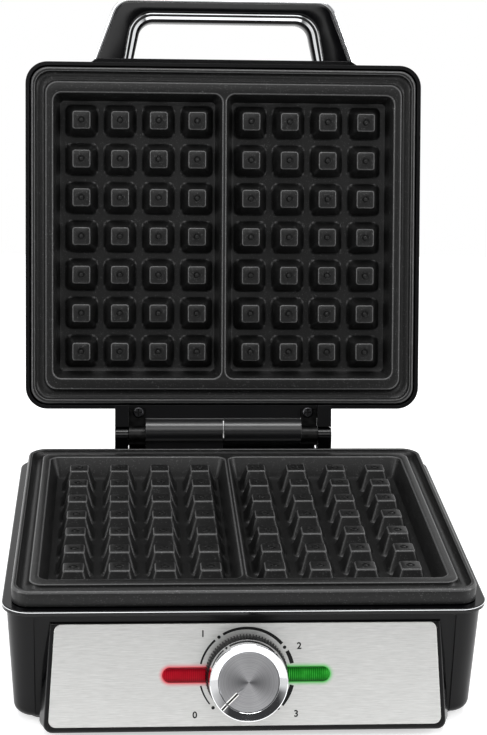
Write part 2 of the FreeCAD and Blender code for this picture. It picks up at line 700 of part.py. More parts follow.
def make_tub():
    body = new_body("base_tub")
    outline = rounded_box(body, "TubFoot", "tubWidth - 2 * tubShrink", "tubDepth - 2 * tubShrink",
                          "tubCorner - tubShrink", lift="footHeight")
    pad(body, outline, "tubHeight", taper="tubDraft")
    round_edges(body, "tubRound", flat_at("footHeight"))
    wall = "tubWall / cos(tubDraft)"
    mouth = rounded_box(body, "TubMouth", f"tubWidth - 2 * {wall}", f"tubDepth - 2 * {wall}",
                        f"tubCorner - {wall}", lift="tubTop")
    pocket(body, mouth, "tubTop - tubFloor", taper="-tubDraft")
    recess_top = "tubTop - recessDrop"
    recess = "-tubDepth / 2 + frontRecess / cos(tubDraft)"
    front = polygon(body, "FrontRecess", [
        (f"{recess} + recessDrop * tan(tubDraft)", recess_top), (f"{recess} + tubShrink", "footHeight"),
        ("-tubDepth", "footHeight"), ("-tubDepth", recess_top)], "side")
    pocket(body, front, "tubWidth - 2 * tubCorner", both=True)
    inlet, boss_face = [("glandX", "glandZ")], "-(tubRear + glandBossReach)"
    boss_length = "glandBossReach + (tubTop - glandZ + glandBossRadius) * tan(tubDraft) + tubWall / 2"
    pad(body, circles(body, "GlandBoss", inlet, "glandBossRadius", "front", boss_face), boss_length)
    pillars = circles(body, "Pillars", boss_spots, "pillarRadius", lift="tubFloor - tubWall / 2")
    pad(body, pillars, "pillarTop - tubFloor + tubWall / 2")
    sinks = circles(body, "HeadSinks", boss_spots, "screwHeadRadius + screwPlay", lift="footHeight")
    pocket(body, sinks, "screwSeat - footHeight", back=True)
    ways = circles(body, "ShankWays", boss_spots, through, lift="screwSeat")
    pocket(body, ways, "pillarRoof", back=True)
    seats = circles(body, "FootSeats", foot_spots, "footRadius", lift="footHeight")
    pocket(body, seats, "footSeat", back=True)
    gland_hole = circles(body, "GlandHole", inlet, "glandNeck", "front", boss_face)
    pocket(body, gland_hole, "glandBossReach + tubShrink + 2 * tubWall + glandBossRadius", back=True)
    window = box(body, "ControlWindow", "-bezelHollow", "bezelHollow", "tubFloor + tubRound",
                 "bezelTop - bezelRail", "front", "tubDepth / 2")
    pocket(body, window, "tubShrink + 3 * tubWall")
    bezel_holes = circles(body, "BezelHoles", bezel_screw_spots, through, "front", "tubDepth / 2")
    pocket(body, bezel_holes, "tubShrink + 3 * tubWall")
    rear_holes = circles(body, "RearHoles", rear_screw_spots, through, "front", "-tubDepth / 2")
    pocket(body, rear_holes, "tubShrink + 3 * tubWall", back=True)
    cut_vents(body)
    return body


def cut_vents(body):
    """Rows of slots in the floor, between the pillars."""
    first_slot = "-(ventCount - 1) / 2 * ventPitch"
    slot = box(body, "Vent", "-ventLength / 2", "ventLength / 2",
               f"{first_slot} - ventWidth / 2", f"{first_slot} + ventWidth / 2", lift="footHeight")
    first = pocket(body, slot, "tubWall", back=True)
    vents = body.newObject("PartDesign::LinearPattern", "Vents")
    vents.Originals = [first]
    vents.Direction = (origin_feature(body, "Y_Axis"), [""])
    bind(vents, "Length", "(ventCount - 1) * ventPitch")
    vents.setExpression("Occurrences", linked("ventCount"))
    body.Tip = vents


def make_ring():
    body = new_body("trim_ring")
    outline = rounded_box(body, "Ring", "ringWidth", "ringDepth", "ringCorner", lift="tubTop")
    pad(body, outline, "ringThickness")
    round_edges(body, "ringRound", flat_at("ringTop"))
    opening = rounded_box(body, "RingOpening", "blockWidth + 2 * ringPlay", "blockLength + 2 * ringPlay",
                          "fieldCorner + ringPlay", lift="ringTop")
    pocket(body, opening, "ringThickness")


def make_feet():
    body = new_body("rubber_feet")
    feet = circles(body, "Feet", foot_spots, "footRadius")
    pad(body, feet, "footHeight + footSeat")
    round_edges(body, "footChamfer", flat_at("0"), "Chamfer")


def make_gland():
    """The lead's inlet bush: a flange outside the wall and a neck through it."""
    body = new_body("cord_gland")
    spot = [("glandX", "glandZ")]
    face = "-(tubRear + glandBossReach)"
    flange = circles(body, "GlandFlange", spot, "glandFlange", "front", face)
    pad(body, flange, "glandFlangeHeight", back=True)
    round_edges(body, "glandFlangeHeight / 3", flat_at("tubRear + glandBossReach + glandFlangeHeight", "y"),
                "Chamfer")
    neck = circles(body, "GlandNeckRound", spot, "glandNeck", "front", face)
    pad(body, neck, "glandBossReach + tubWall")
    bore = circles(body, "GlandBoreRound", spot, "glandBore", "front", f"{face} - glandFlangeHeight")
    pocket(body, bore, "glandFlangeHeight + glandBossReach + tubWall", back=True)


def make_terminal_block():
    body = new_body("terminal_block")
    foot = box(body, "Terminal", "terminalX - terminalWidth / 2", "terminalX + terminalWidth / 2",
               "terminalY - terminalDepth / 2", "terminalY + terminalDepth / 2", lift="tubFloor")
    pad(body, foot, "terminalHeight")
    level = "tubFloor + terminalHeight / 2"
    spots = [(f"terminalX + {step} * terminalWidth / 3", level) for step in (-1, 0, 1)]
    ways = circles(body, "TerminalWays", spots, through, "front", "-terminalY - terminalDepth / 2")
    pocket(body, ways, "terminalDepth", back=True)


def make_cutout():
    """A one-shot fuse in its sleeve, held against the plate's underside."""
    body = new_body("thermal_cutout")
    level = "ridgeHeight - blockDepth - cutoutRadius - seatGap"
    sleeve = circles(body, "Cutout", [("cutoutY", level)], "cutoutRadius", "side")
    pad(body, sleeve, "cutoutLength", both=True)


# Controls. Their frame stands on the fascia at the knob: Y up the face, Z out of it.

def light_bar(side):
    near, far = f"{side} * lensInner", f"{side} * lensOuter"
    return (near, far) if side > 0 else (far, near)


def face_corners(margin_top, margin_bottom, margin_side):
    """The trapezoid of the control face, inside by the margins."""
    lean = "(bezelFootWidth - bezelHeadWidth) / 2 / faceLength"
    top_half = f"bezelHeadWidth / 2 - ({margin_side}) + ({margin_top}) * {lean}"
    foot_half = f"bezelFootWidth / 2 - ({margin_side}) - ({margin_bottom}) * {lean}"
    low, high = f"faceBottom + {margin_bottom}", f"faceTop - ({margin_top})"
    return [(f"-({foot_half})", low), (foot_half, low), (top_half, high), (f"-({top_half})", high)]


FASCIA_MARGINS = ("panelTopMargin", "panelBottomMargin", "panelSideMargin")


def make_bezel():
    body = new_body("control_bezel", "panel")
    front = polygon(body, "BezelFace", face_corners("0", "0", "0"))
    back = polygon(body, "BezelBack", face_corners("0", "bezelLift", "-bezelFlare"), lift="-bezelDepth")
    loft(body, back, front)
    corner_x, corner_y = size("bezelFootWidth / 2 - bezelLift"), size("faceBottom + 2 * bezelLift")
    edge_depth = size("bezelDepth / 2")

    def lower_corner(edge):
        at_corner = all(abs(end.Point.x) > corner_x and end.Point.y < corner_y for end in edge.Vertexes)
        return at_corner and edge.BoundBox.ZLength > edge_depth

    round_edges(body, "bezelCorner", lower_corner)
    reach = "faceLength * sin(wedgeAngle) / cos(wedgeAngle) + bezelDepth"
    neck = box(body, "BezelNeck", "-bezelNeck", "bezelNeck", "faceBottom + bezelNeckInset", "faceTop",
               lift="-bezelDepth")
    pad(body, neck, reach, back=True)
    doc.recompute()
    round_edges(body, "bezelRound", flat_at("0"))
    wall_y, wall_z = "faceTop + frontRecess * sin(wedgeAngle)", "-frontRecess * cos(wedgeAngle)"
    low_y = f"{wall_y} - 2 * faceLength * cos(wedgeAngle)"
    low_z = f"{wall_z} - 2 * faceLength * sin(wedgeAngle)"
    tub_side = polygon(body, "TubSide", [
        (wall_y, wall_z), (low_y, low_z), (low_y, "-3 * faceLength"),
        ("faceTop + faceLength", "-3 * faceLength"), ("faceTop + faceLength", wall_z)], "side")
    pocket(body, tub_side, "2 * bezelFootWidth", both=True)
    low, high = "faceBottom + bezelNeckInset + bezelWall", "faceTop - bezelNeckInset"
    hollow = box(body, "BezelHollow", "-bezelHollow", "bezelHollow", low, high, lift="-wallFace")
    pocket(body, hollow, reach)
    margins = [f"{margin} - lensPlay" for margin in FASCIA_MARGINS]
    seat = polygon(body, "FasciaSeat", face_corners(*margins))
    pocket(body, seat, "panelSeat")
    for side in (-1, 1):
        bar = new_sketch(body, f"LensHole{side + 1}")
        left, right = light_bar(side)
        add_pill(bar, f"{left} - lensPlay", f"{right} + lensPlay", "0", "lensHalf + lensPlay")
        pocket(body, bar, "wallFace + bezelWall")
    neck_hole = circles(body, "BushHole", [("0", "0")], "thermostatNeck + lensPlay")
    pocket(body, neck_hole, "wallFace + bezelWall")
    taps = circles(body, "BezelTaps", [(x, "wallFace * sin(panelTilt)") for x, z in bezel_screw_spots],
                   tapped, lift="-wallFace", tilt="panelTilt")
    pocket(body, taps, reach)


def make_fascia():
    body = new_body("control_panel", "panel")
    outline = polygon(body, "Fascia", face_corners(*FASCIA_MARGINS), lift="-panelSeat")
    pad(body, outline, "panelThickness")
    corner_edges = size("panelThickness")
    round_edges(body, "panelCorner", lambda edge: abs(edge.Length - corner_edges) < 1e-4)
    for side in (-1, 1):
        bar = new_sketch(body, f"FasciaBar{side + 1}", lift="-panelSeat")
        left, right = light_bar(side)
        add_pill(bar, f"{left} - lensPlay", f"{right} + lensPlay", "0", "lensHalf + lensPlay")
        pocket(body, bar, "panelThickness", back=True)
    hole = circles(body, "FasciaHole", [("0", "0")], "thermostatNeck + lensPlay", lift="-panelSeat")
    pocket(body, hole, "panelThickness", back=True)


def make_lens(label, side):
    """A light bar pushed in from behind, with a flange against the wall."""
    body = new_body(label, "panel")
    left, right = light_bar(side)
    bar = new_sketch(body, label + "Bar", lift="-wallFace")
    add_pill(bar, left, right, "0", "lensHalf")
    pad(body, bar, "wallFace + panelThickness - panelSeat + lensProud")
    flange = new_sketch(body, label + "Flange", lift="-wallFace")
    add_pill(flange, f"{left} - lensLip", f"{right} + lensLip", "0", "lensHalf + lensLip")
    pad(body, flange, "lensLip", back=True)
    round_edges(body, "lensProud / 2", flat_at("panelThickness - panelSeat + lensProud"), "Chamfer")


def make_lamp(label, side):
    """A small lamp that lies behind its light bar."""
    body = new_body(label, "panel")
    left, right = light_bar(side)
    level = "-wallFace - lensLip - seatGap - lampRadius"
    bulb = circles(body, label + "Bulb", [("0", level)], "lampRadius", "side", f"{left} + lampRadius")
    pad(body, bulb, "lensOuter - lensInner - 2 * lampRadius")


def make_thermostat():
    body = new_body("thermostat", "panel")
    case = circles(body, "Switch", [("0", "0")], "thermostatRadius", lift="-wallFace")
    pad(body, case, "thermostatDepth", back=True)
    neck = circles(body, "SwitchNeck", [("0", "0")], "thermostatNeck", lift="-wallFace")
    pad(body, neck, "wallFace")
    bore = circles(body, "SwitchBore", [("0", "0")], "spindleRadius + spindleFit")
    pocket(body, bore, "wallFace + thermostatDepth / 2")


bezel_screw_spots = [(f"{sx} * (bezelHollow + bezelNeck) / 2", "panelZ") for sx in (-1, 1)]


def make_bezel_screws():
    body = new_body("bezel_screws")
    inner_wall = "tubFrontAtBezel - (bezelTop - panelZ) * tan(tubDraft) - tubWall / cos(tubDraft)"
    seat = f"{inner_wall} - seatGap - screwRadius * tan(tubDraft)"
    heads = circles(body, "BezelHeads", bezel_screw_spots, "screwHeadRadius", "front", seat)
    pad(body, heads, "screwHeadHeight", back=True)
    shanks = circles(body, "BezelShanks", bezel_screw_spots, "screwRadius", "front", seat)
    pad(body, shanks, f"-panelY - wallFace / cos(panelTilt) - 2 * seatGap - ({seat})")


# Knob, in the frame of the controls

def make_knob():
    body = new_body("knob_body", "panel")
    skirt_top = "knobClear + skirtThickness"
    profile = polygon(body, "Skirt", [
        ("spindleRadius", "knobClear"),
        ("skirtRadius - knurlDepth", "knobClear"),
        ("collarBack - knurlDepth / 2", skirt_top),
        ("collarBore", skirt_top),
        ("collarBore", f"{skirt_top} + collarHeight - capSink - capThickness"),
        ("spindleRadius", f"{skirt_top} + collarHeight - capSink - capThickness")], "front")
    revolve(body, profile)
    rib = polygon(body, "Rib", [
        ("collarBack - knurlDepth", "knobClear"), ("skirtRadius", "knobClear"),
        ("collarBack", skirt_top), ("collarBack - knurlDepth", skirt_top)], "front")
    first = pad(body, rib, "knurlWidth", both=True)
    doc.recompute()
    ribs = body.newObject("PartDesign::PolarPattern", "Knurl")
    ribs.Originals = [first]
    ribs.Axis = (origin_feature(body, "Z_Axis"), [""])
    ribs.Angle = 360
    ribs.setExpression("Occurrences", linked("knurlCount"))
    body.Tip = ribs


def make_collar():
    """The chrome ring: a flared outside, a rounded front and a cone down to the disc."""
    body = new_body("knob_collar", "panel")
    low = "knobClear + skirtThickness"
    profile = polygon(body, "Collar", [
        ("collarBore", low), ("collarBack", low), ("collarRadius", "knobFace - collarEdge"),
        ("collarRadius - collarEdge", "knobFace"), ("collarRadius - 2 * collarEdge", "knobFace"),
        ("collarBore", "knobFace - capSink")], "front")
    revolve(body, profile)


def make_cap():
    body = new_body("knob_cap", "panel")
    low = "knobFace - capSink - capThickness"
    disc = circles(body, "Cap", [("0", "0")], "capRadius", lift=low)
    pad(body, disc, "capThickness")
    round_edges(body, "capThickness / 4", flat_at("knobFace - capSink"), "Chamfer")
    turn_x, turn_y = "cos(pointerTurn)", "sin(pointerTurn)"
    inner, outer, half = "(capRadius - pointerLength)", "(capRadius - pointerWidth / 2)", "pointerWidth / 2"
    groove = polygon(body, "Pointer", [
        (f"{inner} * {turn_x} + {half} * {turn_y}", f"{inner} * {turn_y} - {half} * {turn_x}"),
        (f"{outer} * {turn_x} + {half} * {turn_y}", f"{outer} * {turn_y} - {half} * {turn_x}"),
        (f"{outer} * {turn_x} - {half} * {turn_y}", f"{outer} * {turn_y} + {half} * {turn_x}"),
        (f"{inner} * {turn_x} - {half} * {turn_y}", f"{inner} * {turn_y} + {half} * {turn_x}")],
        lift="knobFace - capSink")
    pocket(body, groove, "pointerDepth")


def make_spindle():
    body = new_body("thermostat_spindle", "panel")
    low = "-wallFace - thermostatDepth / 2 + seatGap"
    shaft = circles(body, "Spindle", [("0", "0")], "spindleRadius", lift=low)
    pad(body, shaft, f"knobFace - capSink - capThickness - ({low})")


# Hinge

def post_screw_spots(side):
    heights = ("postFoot + lowScrewRise", "tubTop - highScrewDrop")
    return [(f"{side} * (postInner + postOuter) / 2", height) for height in heights]


def make_post(label, side):
    """A post behind the tub that holds the pin, with the open lid's stop on its back."""
    body = new_body(label)
    inner = "postInner" if side > 0 else "-postOuter"
    wall = "tubRear + postSeat"
    back = "hingeBack + postTop"
    outline = new_sketch(body, label + "Outline", "side", inner)
    add_polygon(outline, [
        (f"{wall} - (tubTop - postFoot) * tan(tubDraft)", "postFoot"),
        (back, "postFoot + postTop"),
        (back, "hingeHeight"),
        ("hingeBack - postTop", "hingeHeight"),
        ("hingeBack - postTop", "ringTop + seatGap"),
        ("ringDepth / 2 + seatGap", "ringTop + seatGap"),
        ("ringDepth / 2 + seatGap", "tubTop - seatGap"),
        (f"{wall} - seatGap * tan(tubDraft)", "tubTop - seatGap")])
    pad(body, outline, "postOuter - postInner")
    eye = circles(body, label + "Eye", [("hingeBack", "hingeHeight")], "postTop", "side", inner)
    pad(body, eye, "postOuter - postInner")
    along_y, along_z = "cos(lidOpen - 90)", "sin(lidOpen - 90)"
    face = "(armAbove + armGap)"
    foot_y, foot_z = f"hingeBack + {face} * {along_y}", f"hingeHeight - {face} * {along_z}"
    head_y, head_z = f"{foot_y} + stopRise * {along_z}", f"{foot_z} + stopRise * {along_y}"
    stop = polygon(body, label + "Stop", [
        (back, f"hingeHeight - {face} - stopThickness"),
        (f"{foot_y} + stopThickness", "hingeHeight - postTop"),
        (f"{head_y} + stopThickness", head_z),
        (head_y, head_z),
        (foot_y, foot_z),
        ("hingeBack", foot_z),
        ("hingeBack", "hingeHeight - postTop")], "side", inner)
    pad(body, stop, "postOuter - postInner")
    hole = circles(body, label + "PinHole", [("hingeBack", "hingeHeight")], "pinRadius", "side",
                   "postInner" if side > 0 else "-postInner")
    pocket(body, hole, "pinInPost", back=side > 0)
    taps = circles(body, label + "Taps", post_screw_spots(side), tapped, "front", "-tubRear + tubShrink")
    pocket(body, taps, "tubShrink + screwBite + seatGap")


def make_pin(label, side):
    body = new_body(label)
    start = "barrelOuter - barrelSocket"
    end = "postInner + pinInPost"
    left = start if side > 0 else f"-({end})"
    rod = circles(body, label + "Rod", [("hingeBack", "hingeHeight")], "pinRadius", "side", left)
    pad(body, rod, f"{end} - ({start})")


def make_base_barrel():
    """The left half of the cable barrel on its foot, with the trough that runs under both halves."""
    body = new_body("base_barrel")
    middle = [("hingeBack", "hingeHeight + barrelRise")]
    shell = circles(body, "BaseBarrel", middle, "barrelRadius", "side", "-barrelOuter")
    pad(body, shell, "barrelOuter - barrelSplit")
    wall = "tubRear + postSeat"
    ring_side = [("ringDepth / 2 + seatGap", "tubTop - seatGap"),
                 (f"{wall} - seatGap * tan(tubDraft)", "tubTop - seatGap")]
    foot = polygon(body, "BarrelFoot", [
        (f"{wall} - (tubTop - postFoot) * tan(tubDraft)", "postFoot"),
        ("hingeBack + barrelRadius / 2", "postFoot + postTop"),
        ("hingeBack + barrelRadius / 2", "hingeHeight"),
        ("hingeBack - barrelRadius / 2", "hingeHeight"),
        ("hingeBack - barrelRadius / 2", "ringTop + seatGap"),
        ("ringDepth / 2 + seatGap", "ringTop + seatGap")] + ring_side, "side", "-barrelOuter")
    pad(body, foot, "barrelOuter - barrelSplit")
    back, floor = "hingeBack + blockEnd", "hingeHeight - blockEnd"
    trough = polygon(body, "Trough", [
        (f"{wall} - (tubTop - ({floor}) + troughWall) * tan(tubDraft)", f"{floor} - troughWall"),
        (f"{back} + troughWall", f"{floor} - troughWall"),
        (f"{back} + troughWall", "hingeHeight - troughTop"),
        (back, "hingeHeight - troughTop"),
        (back, floor),
        ("ringDepth / 2 + seatGap", floor)] + ring_side, "side")
    pad(body, trough, "2 * (postInner - postGap)", both=True)
    way = circles(body, "BaseBarrelWay", middle, "barrelBore", "side", "-barrelSplit")
    pocket(body, way, "barrelOuter - barrelSplit - barrelSocket - seatGap")
    pin_spot = [("hingeBack", "hingeHeight")]
    socket = circles(body, "BaseBarrelSocket", pin_spot, "pinRadius", "side", "-barrelOuter")
    pocket(body, socket, "barrelSocket + seatGap", back=True)
    taps = circles(body, "BarrelTaps", barrel_screw_spots, tapped, "front", "-tubRear + tubShrink")
    pocket(body, taps, "tubShrink + screwBite + seatGap")


barrel_screw_spots = [(f"-{quarters} * barrelOuter / 4", "tubTop - highScrewDrop") for quarters in (1, 3)]
rear_screw_spots = post_screw_spots(-1) + post_screw_spots(1) + barrel_screw_spots


def make_rear_screws():
    body = new_body("rear_screws")
    for number, (x, z) in enumerate(rear_screw_spots):
        inner_wall = f"-(tubRear - (tubTop - ({z})) * tan(tubDraft) - tubWall / cos(tubDraft))"
        seat = f"{inner_wall} + seatGap + screwHeadRadius * tan(tubDraft)"
        head = circles(body, f"RearHead{number}", [(x, z)], "screwHeadRadius", "front", seat)
        pad(body, head, "screwHeadHeight")
        shank = circles(body, f"RearShank{number}", [(x, z)], "screwRadius", "front", seat)
        pad(body, shank, "tubWall + screwBite", back=True)


# Lid. Its frame is the closed lid's: the land at z = 0, Z up, and the axis behind and just below.

def lid_wall(height, side="lidDepth"):
    """Half the lid's size at a height above the land."""
    return f"({side} / 2 - ({height} - lipRise) * lidRearSlope)"


def make_lid():
    body = new_body("lid_housing", "lid")
    lip = rounded_box(body, "Lip", "lidWidth", "lidDepth", "lidCorner", lift="lipRise")
    pad(body, lip, "lidHeight - lipRise", taper="-lidDraft")
    round_edges(body, "lidRound", flat_at("lidHeight"))
    axis = "-lidLift"
    block = box(body, "HingeBlock", f"{lid_wall('blockHeight')} - blockRoot", "hingeBack - blockEnd",
                "lipRise", "blockHeight", "side")
    pad(body, block, "2 * postInner - 2 * seatGap", both=True)
    for side in (-1, 1):
        arm = box(body, f"Arm{side + 1}", f"{lid_wall('armAbove')} - blockRoot", "hingeBack - armEnd",
                  f"{axis} - armBelow", f"{axis} + armAbove", "side",
                  "postInner - seatGap" if side > 0 else "-postOuter")
        pad(body, arm, "postOuter - postInner + seatGap")
    mouth = rounded_box(body, "LidMouth", "lidWidth - 2 * lidWall", "lidDepth - 2 * lidWall",
                        "lidCorner - lidWall", lift="lipRise")
    pocket(body, mouth, "lidHeight - lidWall - lipRise", back=True, taper="-lidDraft")
    pillars = circles(body, "LidPillars", boss_spots, "pillarRadius", lift="shieldFace")
    pad(body, pillars, "lidHeight - lidWall / 2 - shieldFace")
    sinks = circles(body, "LidSinks", boss_spots, "plugRadius", lift="lidHeight")
    pocket(body, sinks, "lidHeight - lidScrewSeat")
    ways = circles(body, "LidWays", boss_spots, through, lift="lidScrewSeat")
    pocket(body, ways, "lidScrewSeat - shieldFace")
    add_ribs(body)
    cut_leaf_seats(body)
    handle_holes = circles(body, "HandleHoles", handle_screw_spots, through, "front", "lidDepth / 2")
    pocket(body, handle_holes, "lidDepth / 4")


def add_ribs(body):
    """Ribs inside the walls that the plate's outer wall stands on."""
    ribs = new_sketch(body, "Ribs", lift="skirtHeight")
    half, reach = "ribThickness / 2", "ribDepth + lidWall / 2"
    for sx in (-1, 1):
        for sy in (-1, 1):
            wall = lid_wall("skirtHeight")
            near, far = f"{sy} * ({wall} - {reach})", f"{sy} * ({wall} - lidWall / 2)"
            add_polygon(ribs, [(f"{sx} * ribX - {half}", near), (f"{sx} * ribX + {half}", near),
                               (f"{sx} * ribX + {half}", far), (f"{sx} * ribX - {half}", far)])
            wall = lid_wall("skirtHeight", "lidWidth")
            near, far = f"{sx} * ({wall} - {reach})", f"{sx} * ({wall} - lidWall / 2)"
            add_polygon(ribs, [(near, f"{sy} * ribY - {half}"), (far, f"{sy} * ribY - {half}"),
                               (far, f"{sy} * ribY + {half}"), (near, f"{sy} * ribY + {half}")])
    pad(body, ribs, "lidWall / 4 / lidRearSlope")


def cut_leaf_seats(body):
    """Seats for the steel leaves in the underside of the hinge block."""
    for side in (-1, 1):
        seat = box(body, f"LeafSeat{side + 1}", *leaf_span(side, "seatGap"),
                   f"{lid_wall('lipRise')} + seatGap", "hingeBack", lift="lipRise")
        pocket(body, seat, "leafThickness", back=True)
    taps = circles(body, "LeafTaps", leaf_screw_spots, tapped, lift="lipRise + leafThickness")
    pocket(body, taps, "blockHeight - lipRise - leafThickness - seatGap", back=True)


def leaf_span(side, play="0"):
    inner, outer = f"{side} * leafInner - {side} * {play}", f"{side} * leafOuter + {side} * {play}"
    return (inner, outer) if side > 0 else (outer, inner)


leaf_screw_spots = [(f"{sx} * leafScrewX", "hingeBack - leafScrewBack") for sx in (-1, 1)]
handle_screw_spots = [(f"{sx} * handleScrewX", "handleMiddle") for sx in (-1, 1)]


def make_leaf(label, side):
    """A steel leaf under the hinge block, with an eye on the pin."""
    body = new_body(label, "lid")
    left, right = leaf_span(side)
    width = "leafOuter - leafInner"
    axis = "-lidLift"
    plate = box(body, label + "Plate", f"{lid_wall('lipRise')} + 2 * seatGap", "hingeBack",
                "lipRise", "lipRise + leafThickness", "side", left)
    pad(body, plate, width)
    eye = circles(body, label + "Eye", [("hingeBack", axis)], "leafEye", "side", left)
    pad(body, eye, width)
    bore = circles(body, label + "Bore", [("hingeBack", axis)], "pinRadius + pinFit", "side", left)
    pocket(body, bore, width, back=True)
    screw_spot = [(f"{side} * leafScrewX", "hingeBack - leafScrewBack")]
    hole = circles(body, label + "Hole", screw_spot, through, lift="lipRise")
    pocket(body, hole, "leafThickness", back=True)


def make_leaf_screws():
    body = new_body("leaf_screws", "lid")
    heads = circles(body, "LeafHeads", leaf_screw_spots, "screwHeadRadius", lift="lipRise")
    pad(body, heads, "screwHeadHeight", back=True)
    shanks = circles(body, "LeafShanks", leaf_screw_spots, "screwRadius", lift="lipRise")
    pad(body, shanks, "blockHeight - lipRise - 2 * seatGap")


def make_lid_barrel():
    """The right half of the cable barrel, on a web from the hinge block."""
    body = new_body("lid_barrel", "lid")
    axis = "-lidLift"
    middle = ("hingeBack - barrelRise * sin(lidOpen)", f"{axis} + barrelRise * cos(lidOpen)")
    shell = circles(body, "LidBarrel", [middle], "barrelRadius", "side", "barrelSplit")
    pad(body, shell, "barrelOuter - barrelSplit")
    web = box(body, "BarrelWeb", "hingeBack - blockEnd", middle[0],
              "lipRise", f"{middle[1]} + barrelRadius - lipRise", "side", "barrelSplit")
    pad(body, web, "barrelOuter - barrelSplit")
    way = circles(body, "LidBarrelWay", [middle], "barrelBore", "side", "barrelSplit")
    pocket(body, way, "barrelOuter - barrelSplit - barrelSocket - seatGap", back=True)
    pin_spot = [("hingeBack", axis)]
    socket = circles(body, "LidBarrelSocket", pin_spot, "pinRadius + pinFit", "side", "barrelOuter")
    pocket(body, socket, "barrelSocket + seatGap")


def make_plugs():
    body = new_body("screw_plugs", "lid")
    plugs = circles(body, "Plugs", boss_spots, "plugRadius", lift="lidHeight")
    pad(body, plugs, "plugHeight", back=True)


# Handle: an arch before the lid, in three nested strips

def arch(body, name, outer, inner):
    """An arch open at the lid. Each side is (half width at the lid, half width at the front, reach)."""
    root = "-handleRise"
    lid_half, front_half, reach = outer
    gap_half, gap_front, gap_reach = inner
    corners = [(f"-({lid_half})", root), (f"-({front_half})", f"{root} - ({reach})"),
               (front_half, f"{root} - ({reach})"), (lid_half, root), (gap_half, root),
               (gap_front, f"{root} - ({gap_reach})"), (f"-({gap_front})", f"{root} - ({gap_reach})"),
               (f"-({gap_half})", root)]
    return polygon(body, name, corners)


def arch_line(half_foot, half_head, reach, inset):
    """One outline of the arch, moved inwards (or outwards) by a strip's width."""
    return (f"{half_foot} - ({inset})", f"{half_head} - ({inset})", f"{reach} - ({inset})")


OUTSIDE = ("handleFoot / 2", "handleHead / 2", "handleReach")
GAP = ("handleOpenFoot / 2", "handleOpenHead / 2", "handleOpenReach")


def make_arch(label, outside, inside, thickness, edge_round=None):
    """The strip of the arch between two of its lines, each given as (line, corner radius, inset)."""
    body = new_body(label, "lid")
    lines = [arch_line(*line, inset) for line, corner, inset in (outside, inside)]
    sketch = arch(body, label + "Arch", *lines)
    sketch.setExpression("AttachmentOffset.Base.z", linked("handleMiddle"))
    pad(body, sketch, thickness, both=True)
    for (half_foot, half_head, reach), (line, corner, inset) in zip(lines, (outside, inside)):
        spot = upright_at(size(half_head), size(f"-handleRise - ({reach})"))
        round_edges(body, f"{corner} - ({inset})", spot)
    if edge_round:
        top, low = flat_at(f"handleMiddle + ({thickness}) / 2"), flat_at(f"handleMiddle - ({thickness}) / 2")
        root = size("-handleRise")
        round_edges(body, edge_round, lambda edge: (top(edge) or low(edge)) and
                    not all(abs(vertex.Point.y - root) < 1e-4 for vertex in edge.Vertexes))
    return body


def upright_at(x, y):
    """A test for the upright edges at (x, y) and at its mirror image."""
    def test(edge):
        middle = edge.CenterOfMass
        spread = edge.BoundBox
        return abs(abs(middle.x) - x) < 1e-3 and abs(middle.y - y) < 1e-3 and spread.YLength < 1e-3
    return test


def make_handle():
    rim, grip_front = (OUTSIDE, "handleOuterRound", "0"), (OUTSIDE, "handleOuterRound", "trimOuter")
    grip_back, opening = (GAP, "handleInnerRound", "-trimInner"), (GAP, "handleInnerRound", "0")
    core = make_arch("handle_core", grip_front, grip_back, "handleThickness", "handleRound")
    taps = circles(core, "HandleTaps", handle_screw_spots, tapped, "front", "handleRise")
    pocket(core, taps, "screwBite + seatGap", back=True)
    make_arch("handle_outer_trim", rim, grip_front, "handleThickness - trimShort")
    make_arch("handle_inner_trim", grip_back, opening, "handleThickness - trimShort")


def make_boss_strip():
    """The strip on the lid's front edge, with sloped ends, that the handle stands on."""
    body = new_body("handle_boss", "lid")
    low, high = "handleMiddle - bossStripHeight / 2", "handleMiddle + bossStripHeight / 2"
    strip = polygon(body, "Strip", [
        (f"-{lid_wall(low)} - postSeat", low), ("-handleRise", low),
        ("-handleRise", high), (f"-{lid_wall(high)} - postSeat", high)], "side")
    pad(body, strip, "bossStripWidth", both=True)
    half = "bossStripWidth / 2"
    ends = new_sketch(body, "StripEnds")
    for side in (-1, 1):
        add_polygon(ends, [(f"{side} * ({half} - bossStripEnd)", "-handleRise"),
                           (f"{side} * {half}", "-lidDepth / 2"),
                           (f"{side} * ({half} + bossStripEnd)", "-lidDepth / 2"),
                           (f"{side} * ({half} + bossStripEnd)", "-handleRise")])
    pocket(body, ends, "2 * lidHeight", both=True)
    holes = circles(body, "StripHoles", handle_screw_spots, through, "front", "handleRise")
    pocket(body, holes, "lidDepth / 4", back=False)


def make_handle_screws():
    body = new_body("handle_screws", "lid")
    inner_wall = f"{lid_wall('handleMiddle')} - lidWall"
    seat = f"{inner_wall} - seatGap - screwHeadRadius * lidRearSlope"
    heads = circles(body, "HandleHeads", handle_screw_spots, "screwHeadRadius", "front", seat)
    pad(body, heads, "screwHeadHeight", back=True)
    shanks = circles(body, "HandleShanks", handle_screw_spots, "screwRadius", "front", seat)
    pad(body, shanks, f"handleRise + screwBite - ({seat})")


make_tub()
make_ring()
make_plate("lower_plate", "lower")
make_heater("lower_heater", "lower")
make_shield("lower_heat_shield", "lower")
make_screws("plate_screws", "base", boss_spots, "screwSeat",
            "pillarRoof + shieldThickness + screwBite")
make_cutout()
make_terminal_block()
make_gland()
make_feet()
make_bezel()
make_fascia()
make_bezel_screws()
for colour, hand in (("red", -1), ("green", 1)):
    make_lens(colour + "_lens", hand)
    make_lamp(colour + "_lamp", hand)
make_thermostat()
for word, hand in (("left", -1), ("right", 1)):
    make_post(word + "_hinge_post", hand)
    make_pin(word + "_hinge_pin", hand)
make_base_barrel()
make_rear_screws()

